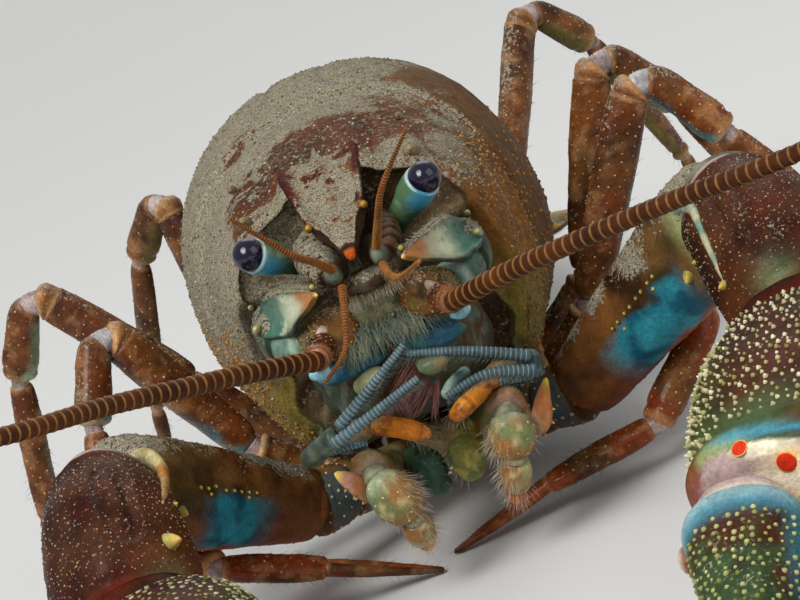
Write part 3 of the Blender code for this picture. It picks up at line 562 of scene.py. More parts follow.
# roughness, size and depth of the bump, coat, mottling and gloss of each paint
SHELL, EYESTALK, EYE, FEELER, CLAW, LEG, MOUTHPART, SCALE = (paint(*row) for row in (
    ("shell_paint", 0.55, 0.55, 0.12, 0.0, 0.22, 0.05),
    ("eyestalk_paint", 0.28, 0.5, 0.03, 0.5, 0.08, 0.09),
    ("eye_paint", 0.05, 0.5, 0.0, 0.5, 0.02, 0.25),
    ("feeler_paint", 0.42, 0.3, 0.04, 0.0, 0.15, 0.09),
    ("claw_paint", 0.42, 0.4, 0.08, 0.04, 0.16, 0.06),
    ("leg_paint", 0.36, 0.35, 0.05, 0.2, 0.22, 0.09),
    ("mouthpart_paint", 0.38, 0.3, 0.04, 0.2, 0.14, 0.09),
    ("scale_paint", 0.35, 0.4, 0.03, 0.2, 0.1, 0.09),
))


# carapace
SHELL_BROWN, SHELL_RED, SHELL_DARK, FIELD_RED, FIELD_BROWN, CHEEK_ORANGE, CHEEK_OLIVE, GRANULE_PALE = map(
    hexa, ("64401f", "6f341a", "3a2a20", "4e240e", "35200f", "85582a", "7d6f36", "b98a4a"))
FRONT_ROWS, REAR_ROWS, CARAPACE_COLUMNS = 75, 88, 225


def carapace_last(y):
    """Angle of the ventral margin, where the crest is 0 and the flank 90 degrees."""
    zc, zb, zv = curve(WIDEST_Z, y), curve(MARGIN_Z, y), curve(VIRTUAL_BOTTOM, y)
    return 180 - np.degrees(np.arccos(np.clip((zc - zb) / (zc - zv), 0, 1) ** 1.1))


def carapace_xz(y, degrees):
    w, zc = curve(HALF_WIDTH, y), curve(WIDEST_Z, y)
    zt, zv = curve(TOP_LINE, y), curve(VIRTUAL_BOTTOM, y)
    a = np.radians(degrees)
    upper = degrees <= 90
    x = w * np.where(upper, power(np.sin(a), 0.92), power(np.sin(a), 1 / 1.1))
    z = zc + np.where(upper, (zt - zc) * power(np.cos(a), 0.92), (zc - zv) * power(np.cos(a), 1 / 1.1))
    return x, z


def front_plane(z):
    """Plane in which the front margin lies."""
    return FRONT_TOP_Y + FRONT_SLOPE * (FRONT_TOP_Z - z)


def front_edge(degrees, z):
    """Front margin, with the orbit cut back beside the rostrum and an angle over the antenna."""
    return front_plane(z) + 0.7 * bump(degrees - 50, 13) - 0.5 * bump(degrees - 80, 7) + 0.4 * bump(degrees - 108, 12)


def carapace_surface(rows, columns):
    """Places on the outer surface: rows run 0 to 1 from the front edge to the neck groove and
    on to 2 at the rear edge; columns run -1 to 1 from margin to margin over the crest."""
    row, share = np.meshgrid(rows, columns, indexing="ij")
    y = 20.0 + 20.0 * row
    for _ in range(10):
        degrees = carapace_last(y) * np.abs(share)
        x, z = carapace_xz(y, degrees)
        groove = curve(GROOVE_Y, degrees)
        front = front_edge(degrees, z)
        y = np.where(row <= 1, front + (groove - front) * row, groove + (CARAPACE_REAR - groove) * (row - 1))
    degrees = carapace_last(y) * np.abs(share)
    x, z = carapace_xz(y, degrees)
    return np.stack([x * np.sign(share), y, z], -1), degrees, y - groove, y - front


def carapace_relief(p, degrees, past_groove, past_front, from_margin):
    """Grooves, ridges and rolled edges, in millimetres out of the surface."""
    x, y = np.abs(p[..., 0]), p[..., 1]
    rear = CARAPACE_REAR - y
    relief = -GROOVE_DEPTH * bump(past_groove, 0.75) * ramp(-2, 12, 130 - degrees)
    relief += 0.4 * bump(past_groove + 1.9, 0.9) + 0.35 * bump(past_groove - 1.9, 0.9)
    areola = curve(((37, 6.5), (42, 3.4), (50, 2.6), (58, 3.6), (62, 5.0)), y)
    relief -= 0.35 * bump(x - areola, 0.45) * ramp(37, 40, y) * (degrees < 70)
    relief -= 0.3 * bump(from_margin - 1.6, 0.35) * ramp(14, 18, y)
    relief += 0.22 * bump(from_margin - 0.7, 0.5)
    relief += 0.3 * bump(past_front - 0.5, 0.45) - 0.22 * bump(past_front - 1.35, 0.35)
    relief -= 0.3 * bump(rear - 2.4, 0.4) - 0.25 * bump(rear - 0.9, 0.7)
    for start, end, place, width in ((17, 24, 7.5, 0.9), (13, 26, 3.3, 0.8)):
        fade = ramp(start - 4, start, y) * ramp(0, 6, end - y)
        relief += 0.55 * bump(x - place, width) * fade * (degrees < 80)
    relief -= 0.35 * bump(x - 5.3, 1.1) * ramp(14, 18, y) * ramp(0, 5, 27 - y) * (degrees < 80)
    return relief + (0.10 * fractal(p, 3.2, 5) + 0.05 * fractal(p, 0.9, 9))


def build_carapace():
    rows = np.concatenate([np.linspace(0, 1, FRONT_ROWS + 1)[:-1], np.linspace(1, 2, REAR_ROWS)])
    p, degrees, past_groove, past_front = carapace_surface(rows, np.linspace(-1, 1, CARAPACE_COLUMNS))
    normal = grid_normals(p, False)
    normal *= np.where(np.sum(normal * (p - [0, 35, 20]), -1, keepdims=True) < 0, -1, 1)
    x, y = p[..., 0], p[..., 1]
    from_margin = (carapace_last(y) - degrees) / 57.3 * 15
    p = push(p, normal, carapace_relief(p, degrees, past_groove, past_front, from_margin))

    # bare field, where the silt is thin, and silt elsewhere
    rise = normal[..., 2]
    top = ramp(0.0, 0.75, rise)
    dusty_side = ramp(6, -8, x) * ramp(-0.35, 0.2, rise)
    field = sum(share * bump(x - a, wide) * bump(y - b, long) for share, a, wide, b, long in (
        (1.1, -0.6, 6.0, 21.5, 6.0), (0.9, -7.2, 2.6, 20, 5.5), (0.7, -6, 3.5, 36, 5.0), (0.6, 7, 3.0, 25, 5.0)))
    field = np.clip(field * ramp(0.1, 0.5, rise) * (1.1 + 0.6 * fractal(p, 2.4, 15)), 0, 1)
    right = ramp(5.0, 10.5, x)
    behind = right * ramp(0.5, 2.5, past_groove)
    dust = (0.3 + 0.5 * top + 0.42 * dusty_side + 0.42 * fractal(p, 6.0, 11) - 1.25 * field - 0.2 * right
            - 0.5 * behind)
    dust = dust * ramp(-0.5, 0.1, rise + 0.25 * (x < 0)) + 0.25 * bump(past_groove, 0.8)
    dust = ramp(0.0, 0.85, dust + 0.2 * fractal(p, 1.3, 17) + 0.55 * field * ramp(0.1, 0.6, noise(p, 0.8, 19)))
    dust = np.maximum(dust, field * (0.3 + 0.12 * fractal(p, 1.5, 23)))
    tint = layers(
        SHELL_BROWN,
        (SHELL_RED, ramp(-0.4, 0.5, fractal(p, 4.0, 21))),
        (SHELL_DARK, ramp(0.1, 0.8, fractal(p, 2.2, 31)) * 0.7),
        (mix(FIELD_RED, FIELD_BROWN, ramp(-0.4, 0.4, fractal(p, 1.8, 33))), 0.85 * field),
        ("5c4428", 0.75 * right),
        (CHEEK_ORANGE, ramp(62, 88, degrees) * ramp(1.5, -4.0, past_groove) * 0.85),
        (CHEEK_OLIVE, ramp(92, 118, degrees) * ramp(6, -3, past_groove) * 0.9),
        ("35564a", ramp(2.6, 0.8, from_margin) * 0.8 * ramp(50, 30, y)),
        (SHELL_DARK, np.clip(0.75 * bump(past_front - 1.35, 0.5) + 0.9 * bump(past_groove, 0.6), 0, 1)),
        (CHEEK_OLIVE * 0.7, ramp(100, 130, degrees) * 0.5 * (past_groove > 0)))

    piece = Piece()
    under, under_tint = carapace_under(p, y)
    ring = np.concatenate([p, under], axis=1)
    ring_tint = np.concatenate([tint, np.broadcast_to(under_tint, under.shape)], axis=1)
    ring_dust = np.concatenate([dust, np.zeros(under.shape[:2])], axis=1)
    parts = (carapace_face(ring[0], ring_tint[0], ring_dust[0]), (ring, ring_tint, ring_dust),
             carapace_tail(ring[-1], ring_tint[-1]))
    piece.grid(*(np.concatenate(layer) for layer in zip(*parts)))

    # granules of the flank and grains of silt
    flank = ramp(50, 75, degrees) * ramp(2.0, -1.0, past_groove) + 0.55 * ramp(60, 90, degrees) * (past_groove > 1)
    flank = flank * np.where(x > 0, 1, ramp(86, 98, degrees)) * (1 - 0.8 * behind)
    spots, out = scatter(p, 0.62, 3, np.clip(flank, 0, 1) * (from_margin > 1.9), around=False)
    rng = np.random.default_rng(4)
    size = rng.uniform(0.7, 1.25, len(spots))
    hue = mix(CHEEK_ORANGE * 1.1, GRANULE_PALE, rng.random(len(spots)))
    studs(piece, spots, unit(out + [0, -0.5, 0.1]), 0.15 * size, 0.14 * size, hue * 0.75, hue, sharp=0.2, sides=4)
    silty = np.clip(top * 0.6 + dusty_side + 0.3 * right, 0, 1) * (0.75 + 0.25 * (dust > 0.3)) * (1 - behind)
    grains(piece, *scatter(p, 0.74, 7, silty, around=False), 8, 0.05, 0.6, (0.1, 0.12), sides=4)
    build_rostrum(piece)
    piece.build("carapace_shell", SHELL, "shell", "carapace")


def carapace_under(p, y):
    """Inner floor of the gill chambers, from the left margin back to the right one."""
    left, right = p[:, -1], p[:, 0]
    inner_z = np.minimum(curve(INNER_Z, y[:, 0]), right[:, 2] - 0.2)
    half = np.minimum(INNER_HALF, left[:, 0] * 0.86)
    floor = [np.stack([half * s, left[:, 1], inner_z + 0.6 * (1 - s * s)], -1) for s in (1.0, 0.5, 0.0, -0.5, -1.0)]
    walls = [[mix(edge, np.stack([half * s, edge[:, 1], inner_z], -1), k) + [0, 0, 0.3 * k] for k in (0.25, 0.6)]
             for edge, s in ((left, 1), (right, -1))]
    return np.stack(walls[0] + floor + walls[1][::-1], axis=1), hexa("6d6a4c")


# rings of the front wall: share of the way out to the edge, and distance behind it
FACE_RINGS = ((0.0, 0.5), (0.2, 0.5), (0.4, 0.5), (0.55, 0.5), (0.68, 0.45), (0.75, 0.4), (0.775, 0.4), (0.79, 0.35),
              (0.8, 0.35), (0.81, 0.35), (0.82, 0.3), (0.83, 0.3), (0.845, 0.25), (0.86, 0.2), (0.88, 0.15),
              (0.9, 0.1), (0.915, 0.0), (0.93, -0.1), (0.945, -0.2), (0.96, -0.25), (0.975, -0.3), (0.988, -0.2))


def carapace_face(edge, tint, dust):
    """Front wall: the edge rolls in, and a wall closes the recess behind the head's limbs."""
    centre = np.array([0.0, edge[:, 1].mean(), 25.0])
    rows = []
    x, z = edge[:, 0], edge[:, 2]
    wall = mix("3f2d1f", "6a5a42", ramp(-0.3, 0.5, fractal(edge, 2.0, 41)))
    sandy = np.clip(ramp(1.5, -1.0, x) * ramp(19, 24, z), 0.3, 1)
    line = 0.94 - 0.125 * ramp(27.5, 24.5, z) * ramp(15.0, 17.0, z)
    for scale, back in FACE_RINGS:
        inside = ramp(line - 0.005, line - 0.02, scale)
        seam = bump(scale - line, 0.01)
        ring = mix(centre, edge, scale)
        ring[:, 1] = mix(edge[:, 1, None], centre[1], 1 - scale)[:, 0] + back
        ring[:, 1] += 0.15 * inside * fractal(ring, 1.4, 45) - 0.3 * bump(scale - line - 0.012, 0.012)
        laid = dust * (1 - inside) + inside * sandy * (0.75 + 0.5 * fractal(ring, 1.5, 43))
        rows.append((ring, layers(tint, (wall, inside), ("1f332c", 0.85 * seam)), laid * (1 - seam)))
    return [np.stack(column) for column in zip(*rows)]


def carapace_tail(edge, tint):
    """Rear wall, which rolls in at the rim."""
    centre = np.array([0.0, CARAPACE_REAR, 22.0])
    rows = []
    for scale, back in ((0.985, 0.18), (0.96, 0.05), (0.94, -0.9), (0.6, -1.0), (0.02, -1.0)):
        ring = mix(centre, edge, scale)
        ring[:, 1] = CARAPACE_REAR + back
        rows.append(ring)
    grid = np.stack(rows)
    # painted shade: the wall takes the rim's colours darkened to seven tenths
    return grid, np.broadcast_to(tint * 0.7, grid.shape), np.zeros(grid.shape[:2])


# rostrum: y, and there half width, height of ridge, of trough and of underside
ROSTRUM = ((0.0, (0.25, 29.05, 29.2, 28.7)), (1.8, (0.85, 29.9, 29.95, 28.5)), (4.0, (1.5, 30.75, 30.6, 28.8)),
           (5.4, (2.3, 31.35, 31.0, 29.0)), (9.0, (2.85, 32.35, 32.0, 29.9)), (14.0, (3.4, 33.7, 33.6, 30.8)),
           (19.0, (3.6, 34.1, 34.2, 31.5)), (23.0, (3.5, 34.3, 34.6, 32.0)))
TIP_ORANGE = hexa("b4521c")
THORN_YELLOW = "c8943a"
ROSTRUM_TOP, ROSTRUM_UNDER = 31, 15


def build_rostrum(piece):
    """Trough between two raised ridges, with two side spines and a pointed end."""
    y = np.concatenate([np.linspace(0.0, 2.0, 12)[:-1], np.linspace(2.0, 22.0, 70)])[:, None]
    half, ridge, middle, low = columns(curve(ROSTRUM, y))
    across = np.linspace(-1, 1, ROSTRUM_TOP)
    top = np.stack([half * across, np.repeat(y, ROSTRUM_TOP, 1), middle + (ridge - middle) * np.abs(across) ** 3], -1)
    top[..., 2] += 0.22 * bump(top[..., 0], 0.35) * ramp(0, 4, y)
    top[..., 2] += 0.35 * bump(np.abs(across) - 0.88, 0.1) * ramp(1, 5, y)
    angle = np.linspace(0, math.pi, ROSTRUM_UNDER + 2)[1:-1]
    under = np.stack([half * np.cos(angle) * 0.94, np.repeat(y, ROSTRUM_UNDER, 1),
                      ridge - 0.25 - (ridge - low - 0.25) * np.sin(angle) ** 0.8], -1)
    grid = np.concatenate([top, under], axis=1)
    grid = push(grid, outward(grid), 0.06 * fractal(grid, 0.8, 51))
    below = np.zeros(ROSTRUM_UNDER)
    edge = np.concatenate([bump(np.abs(across) - 0.9, 0.16), below])
    # painted shade: the whole underside is painted dark
    dark = np.concatenate([np.zeros(ROSTRUM_TOP), below + 1])
    rim = np.concatenate([ramp(0.93, 0.97, np.abs(across)), below]) * ramp(1.0, 2.0, y)
    streak = ramp(0.25, 0.5, fractal(grid * [1, 0.4, 1], 1.1, 57)) * ramp(3, 7, y)
    rear = ramp(8.5, 12, y) * edge
    tint = layers(SHELL_BROWN, ("430f06", np.clip(rear + 0.9 * streak, 0, 1)), (SHELL_DARK * 0.8, dark * 0.85),
                  ("2a1c14", ramp(1.7, 0.9, y)), (TIP_ORANGE, ramp(0.7, 0.4, y)), ("1c1510", 0.9 * rim))
    dust = 0.75 + 0.3 * fractal(grid, 1.6, 53)
    dust = dust * (1 - 0.85 * rear) * (1 - 0.7 * streak) * (1 - dark) * ramp(0.9, 1.6, y) * (1 - rim)
    piece.grid(grid, tint, np.clip(dust, 0, 1))
    ends = np.array([[2.3, 5.3, 31.3], [-2.3, 5.3, 31.3]])
    studs(piece, ends, unit([[0.12, -1, 0.25], [-0.12, -1, 0.25]]), 0.4, 0.75, "5a3a1c", THORN_YELLOW, 0.6, 12)
    tip = np.array([[0.0, 0.45, 29.0]])
    studs(piece, tip, unit([[0, -1, 0.1]]), 0.4, 0.46, TIP_ORANGE, TIP_ORANGE * 0.9, sides=16)
    for s in SIDES.values():
        post = np.array([[7.35 * s, 14.9, 32.0], [7.6 * s, 22.6, 33.9]])
        studs(piece, post, unit([[0, -1, 0.35], [0, -1, 0.6]]), (0.75, 0.4), (1.6, 0.6), SHELL_BROWN, "a8803c",
              0.8, 12, 0.6)


build_carapace()


# eyes
EYE_CENTRE = (7.5, 7.0, 31.0)
EYE_ROOT = (3.9, 10.8, 27.9)
EYE_RADIUS = 1.35
LATHE_SIDES = 56
STALK_GREEN = "54704a"
STALK_BLUE = "3b93b6"


def build_eye(tag, s):
    """Stalk, pale socket rim and glossy cornea, turned about the line from root to eye."""
    eye = np.array(EYE_CENTRE) * [s, 1, 1]
    root = np.array(EYE_ROOT) * [s, 1, 1]
    look = unit(eye - root)
    length = np.linalg.norm(eye - root)
    side, up = frames(look, UPWARD)
    circle = circles(side[None], up[None], LATHE_SIDES)[0]

    def lathe(profile):
        return np.stack([root + look * d + circle * r for d, r in profile])

    neck = ((-1.4, 0.8), (0.0, 0.95), (0.8, 1.05), (1.8, 1.12), (2.8, 1.25), (3.6, 1.42), (4.4, 1.5),
            (length - 0.5, 1.46), (length - 0.25, 1.38))
    d = np.linspace(-1.4, length - 0.25, 56)
    stalk = lathe(list(zip(d, curve(neck, d))) + [(length - 0.22, 1.2), (length - 0.22, 0.6)])
    stalk = push(stalk, outward(stalk), 0.035 * fractal(stalk, 0.8, 61))
    low = ramp(-0.2, 0.9, -(stalk - root) @ up / 1.4 * (1 if up[2] > 0 else -1))
    along = np.concatenate([d / length, [1, 1]])[:, None]
    tint = layers(STALK_GREEN, (STALK_BLUE, low * ramp(0.35, 0.8, along)),
                  ("8fb7a0", 0.4 * ramp(0.2, 0.7, fractal(stalk, 0.9, 63))),
                  ("39462f", 0.8 * (1 - ramp(0.1, 0.45, along))))
    piece = Piece()
    piece.grid(stalk, tint)
    piece.build("eyestalk_%s_skin" % tag, EYESTALK, "eyestalk", "eyestalk_" + tag)

    piece = Piece()
    rise = np.radians(np.linspace(-32, 90, 40))
    globe = [(length + EYE_RADIUS * math.sin(k), max(EYE_RADIUS * math.cos(k), 0.004)) for k in rise]
    piece.grid(lathe(globe), "150f26")
    loop = [(length - 0.5 + 0.26 * math.sin(k), 1.3 + 0.17 * math.cos(k)) for k in turns(14)]
    piece.grid(lathe(loop + loop[:1]), "9fb6bd", caps=False)
    piece.build("eye_%s_cornea" % tag, EYE, "eye", "eye_" + tag)


for eye_tag, eye_side in SIDES.items():
    build_eye(eye_tag, eye_side)


# feelers
ANTENNA_PATH = {
    "l": ((5.6, -0.3, 22.6), (9.9, -6, 24.2), (15.1, -12, 25.6), (22.9, -19, 27.0), (31.3, -26, 28.1),
          (44, -34, 30.2), (58, -38, 33.8), (73, -37, 38.6), (86, -31, 44.0)),
    "r": ((-5.6, -0.3, 22.6), (-9.8, -6, 25.0), (-14.0, -11, 27.0), (-19.7, -18, 29.7), (-25.6, -26, 32.3),
          (-36, -36, 36.8), (-49, -43, 42.0), (-63, -44, 47.5), (-76, -39, 53.0)),
}
ANTENNULE_UPPER = {
    "l": ((2.0, 0.8, 28.6), (3.0, -2, 31.0), (4.4, -4.4, 33.7), (7.8, -6.5, 37.3)),
    "r": ((-1.7, 0.8, 28.3), (-2.6, -2, 30.0), (-4.0, -4.4, 31.9), (-6.8, -7, 36.6)),
}
ANTENNULE_LOWER = {
    "l": ((1.9, 0.6, 27.3), (2.2, -2.4, 26.9), (3.0, -6, 27.2), (4.8, -10.5, 28.6)),
    "r": ((-1.6, 0.6, 27.0), (-2.2, -2.4, 25.4), (-3.2, -4.6, 23.4), (-5.4, -6.4, 22.2)),
}
ANTENNA_ROOT = 0.82
ANTENNA_END = 0.34
# dark, brown and pale colour of the rings
ANTENNA_TINTS = tuple(map(hexa, ("2f180d", "562e14", "8c6436")))
ANTENNULE_TINTS = tuple(map(hexa, ("3a1e10", "84461f", "a8743a")))


def ringed(piece, path, start, end, pitch, sides, tints, rise=0.09, per=7):
    """Tapering feeler of short rings, each a little wider at its far edge, with a pale joint."""
    dark, brown, pale = tints
    fine = curve(list(enumerate(path)), np.linspace(0, len(path) - 1, 400))
    reach = np.concatenate([[0], np.cumsum(np.linalg.norm(np.diff(fine, axis=0), axis=1))])
    edges = [0.0]
    while edges[-1] < reach[-1] - 0.15:
        edges.append(edges[-1] + pitch * (1 - 0.35 * edges[-1] / reach[-1]))
    k = np.arange((len(edges) - 1) * per + 1)
    d = np.minimum(np.interp(k / per, np.arange(len(edges)), edges), reach[-1])
    phase = (k % per) / per
    centre = np.stack([np.interp(d, reach, fine[:, c]) for c in range(3)], -1)
    tangent = unit(np.gradient(centre, axis=0))
    radius = start + (end - start) * (d / reach[-1])
    radius = radius * (0.96 + rise * ramp(0.1, 0.85, phase) - rise * (phase < 0.12)) * np.where(k == k[-1], 0.4, 1.0)
    ring = circles(*frames(tangent, (0.1, 0.2, 1.0)), sides)
    grid = centre[:, None] + ring * radius[:, None, None]
    body = mix(brown, dark, 0.5 + 0.5 * noise(centre, 2.5, 71))
    tint = mix(body, pale, ((phase > 0.85) & (k > 0)) * 0.85)[:, None]
    piece.grid(grid, tint * (1 + 0.15 * noise(grid, 0.4, 73))[..., None])
    return centre, tangent, ring, radius


def ring_hairs(piece, feeler, pick, side, rng, forward, length, width, tint, tip=None):
    """Short hairs that lean forward from the picked rings of a ringed feeler."""
    centre, tangent, ring, radius = feeler
    roots = centre[pick] + ring[pick, side] * radius[pick, None] * 0.9
    ways = unit(ring[pick, side] + tangent[pick] * forward + rng.normal(0, 0.2, (len(pick), 3)))
    hairs(piece, roots, ways, length, width, tint, joints=2, tip=tip)


def build_feelers():
    rng = np.random.default_rng(12)
    for tag, s in SIDES.items():
        piece = Piece()
        ringed(piece, ANTENNA_PATH[tag], ANTENNA_ROOT, ANTENNA_END, 1.0, 16, ANTENNA_TINTS, 0.07, 9)
        piece.build("antenna_%s_flagellum" % tag, FEELER, "antenna", "antenna_%s_near" % tag, "antenna_%s_far" % tag)

        piece = Piece()
        for path, start in ((ANTENNULE_UPPER[tag], 0.36), (ANTENNULE_LOWER[tag], 0.34)):
            feeler = ringed(piece, path, start, 0.13, 0.34, 14, ANTENNULE_TINTS, 0.12)
            pick = np.arange(8, len(feeler[0]) - 4, 5)
            for turn in (2, 9):
                ring_hairs(piece, feeler, pick, turn, rng, 1.2, 0.55, 0.024, "8a7050")
        stalk = beads(s, (1.8, 9.5, 27.2, 1.0, 1.1), (2.0, 5.8, 27.4, 1.3, 1.25), (1.95, 2.6, 27.7, 0.8, 0.85),
                      (1.85, 0.8, 28.0, 0.5, 0.58), (1.85, 0.1, 28.0, 0.48, 0.55))
        p, normal, t = tube(stalk, ACROSS, 36, ends=(0.3, 0.5))
        p = push(p, normal, -0.13 * bump(t - 0.72, 0.02) - 0.1 * bump(t - 0.4, 0.02))
        piece.grid(p, mix("4f3a26", "66705e", ramp(0.72, 0.85, t)), 0.35 * ramp(0.7, 0.4, t))
        wide, lean = (0.68, -0.2) if tag == "l" else (1.1, -0.5)
        hump = ((2.4, 13.4, 28.6, 1.3), (3.0, 9.5, 28.6, 1.5), (3.3 + lean, 6.4, 28.4, 1.5),
                (3.1 + lean, 4.2, 28.0, 1.25), (2.7 + lean, 3.0, 27.6, 0.8))
        hump = beads(s, *((x, y, z, r * wide, r * wide * 0.9) for x, y, z, r in hump))
        p, normal, t = tube(hump, ACROSS, 44, step=0.14, ends=(0.3, 0.6))
        stripe = np.sin(t * 62)
        p = push(p, normal, 0.07 * stripe + 0.1 * fractal(p, 1.4, 81))
        cover = 0.65 * (tag == "r") + 0.4 * fractal(p, 1.6, 83)
        piece.grid(p, mix("4a3320", "241810", ramp(0.0, 0.7, -stripe)), np.clip(cover + 0.2 * stripe, 0, 1))
        piece.build("antennule_%s_flagella" % tag, FEELER, "antenna", "antennule_" + tag)


build_feelers()


# great claws: hip, end of ischium, elbow and wrist
CLAW_ARM = {
    "l": ((6.0, 24.5, 5.9), (12.4, 19.6, 7.0), (28.4, 5.2, 19.8), (29.6, -10.0, 12.8)),
    "r": ((-6.0, 24.5, 5.9), (-12.4, 19.6, 7.0), (-25.2, 5.2, 18.6), (-25.4, -9.6, 11.6)),
}
CLAW_END = {"l": (15.5, -57.5, 1.9), "r": (-15.5, -58.5, 1.9)}
CARPUS_RISE = 1.5
# soft skin at the elbow: x, y, z and radius along each fold, and its two colours
JOINT_SKIN = {
    "l": ((((24.5, 4.9, 21.0, 0.5), (25.0, 2.4, 21.5, 0.55), (25.3, 0.2, 21.5, 0.5), (25.1, -2.4, 20.9, 0.42),
            (24.9, -4.6, 20.0, 0.36), (24.8, -6.8, 18.5, 0.3), (24.7, -8.4, 17.4, 0.2)), ("aea685", "6f8a7a")),
          (((25.6, 4.6, 22.2, 0.2), (26.8, 4.4, 23.1, 0.32), (28.6, 4.0, 23.6, 0.36), (30.4, 3.6, 23.3, 0.3),
            (31.8, 3.2, 22.2, 0.2)), ("5c5648", "746e5e"))),
    "r": ((((-22.3, 3.6, 20.5, 0.55), (-21.3, 4.3, 20.2, 0.7), (-20.5, 3.7, 19.2, 0.62), (-20.4, 1.6, 18.5, 0.5),
            (-20.5, -1.2, 18.2, 0.38), (-20.7, -4.0, 18.0, 0.22)), ("b5a878", "a06a34")),
          (((-22.4, 3.8, 20.6, 0.2), (-24.0, 3.9, 21.8, 0.3), (-26.0, 3.7, 22.0, 0.34), (-28.2, 3.1, 20.8, 0.3),
            (-29.6, 2.3, 18.6, 0.2)), ("5c5648", "706a5a"))),
}
CARPUS_PATCH = {"l": (28.3, -10.8, 16.4), "r": (-22.6, -9.6, 13.6)}
# palm and finger: distance from the wrist, and there the inner and outer edge and half thickness
PALM = ((0.0, (-4.3, 3.9, 3.9)), (3.0, (-6.4, 6.0, 4.5)), (7.0, (-8.0, 8.6, 5.2)), (13.0, (-8.8, 10.7, 5.5)),
        (18.0, (-8.8, 11.4, 5.2)), (21.0, (-8.5, 11.5, 5.0)), (22.6, (-7.6, 11.4, 4.8)), (23.6, (-0.3, 11.2, 4.5)),
        (27.0, (1.1, 10.5, 4.0)), (34.0, (1.7, 8.7, 3.2)), (42.0, (1.0, 6.1, 2.3)), (48.0, (-0.4, 2.8, 1.3)),
        (50.4, (-0.8, 0.5, 0.7)))
DACTYL = ((24.1, (-7.6, -1.8, 3.6)), (26.0, (-8.5, -0.8, 4.2)), (29.0, (-8.5, -0.3, 4.0)), (34.0, (-7.7, -0.7, 3.2)),
          (41.0, (-6.2, -1.8, 2.4)), (46.5, (-4.3, -2.0, 1.4)), (49.0, (-3.2, -2.0, 0.7)))
CLAW_MAROON, CLAW_BROWN, CLAW_RED, CLAW_OLIVE, CLAW_UNDER = "270f09", "432210", "4c170b", "3f4528", "96452a"
TURQUOISE, TURQUOISE_PALE, CREAM, HORN = "42889c", "92b4ba", "e8dcc0", "dba25a"
MEMBRANE = hexa("a8908a")
TUBERCLE_LOW, TUBERCLE_HIGH = "7d7a3e", "d3cba6"
# red spots at the hinge: distance from the wrist, lateral place, level and radius
HINGE_SPOTS = ((22.2, -3.86, 0.9, 0.52), (23.2, -1.2, 0.66, 0.66))


def claw_axes(tag):
    """Root of the hand and its directions along, sideways out and up."""
    wrist, end = np.array(CLAW_ARM[tag][3]), np.array(CLAW_END[tag])
    along = unit(end - wrist)
    out = np.array([float(SIDES[tag]), 0, 0])
    side = unit(out - along * (out @ along))
    up = np.cross(along, side)
    return wrist + along * 0.4, along, side, up * (1 if up[2] > 0 else -1)


def claw_grid(tag, rows, sides, ends=(0.5, 0.9)):
    """Rings across the claw between its inner and outer edges."""
    base, along, side, up = claw_axes(tag)
    first, last = rows[0][0], rows[-1][0]
    reach = np.concatenate([first + ends[0] * END_RINGS, np.arange(first + ends[0], last - ends[1], 0.33),
                            (last - ends[1] * END_RINGS)[::-1]])
    inner, outer, thick = columns(curve(rows, reach))
    shrink = taper(reach - first, last - reach, ends, 0.001)
    x, z = section(sides, 2.4)
    lateral = ((inner + outer) / 2)[:, None] + ((outer - inner) / 2 * shrink)[:, None] * x
    height = (thick * shrink)[:, None] * z
    points = base + along * reach[:, None, None] + side * lateral[..., None] + up * height[..., None]
    reach = np.repeat(reach[:, None], sides, 1)
    return points, outward(points), reach, lateral, height / np.maximum(thick, 0.1)[:, None]


def claw_colour(p, normal, seed):
    return layers(CLAW_MAROON, (CLAW_BROWN, ramp(-0.5, 0.6, fractal(p, 5.0, seed))),
                  (CLAW_RED, 0.7 * ramp(0.0, 0.7, fractal(p, 2.5, seed + 5))),
                  (CLAW_UNDER, ramp(-0.25, -0.8, normal[..., 2]) * 0.85))


def claw_dust(p, normal, seed, amount):
    return np.clip(amount * ramp(0.1, 0.8, normal[..., 2]) + 0.35 * fractal(p, 3.0, seed) - 0.1, 0, 1)


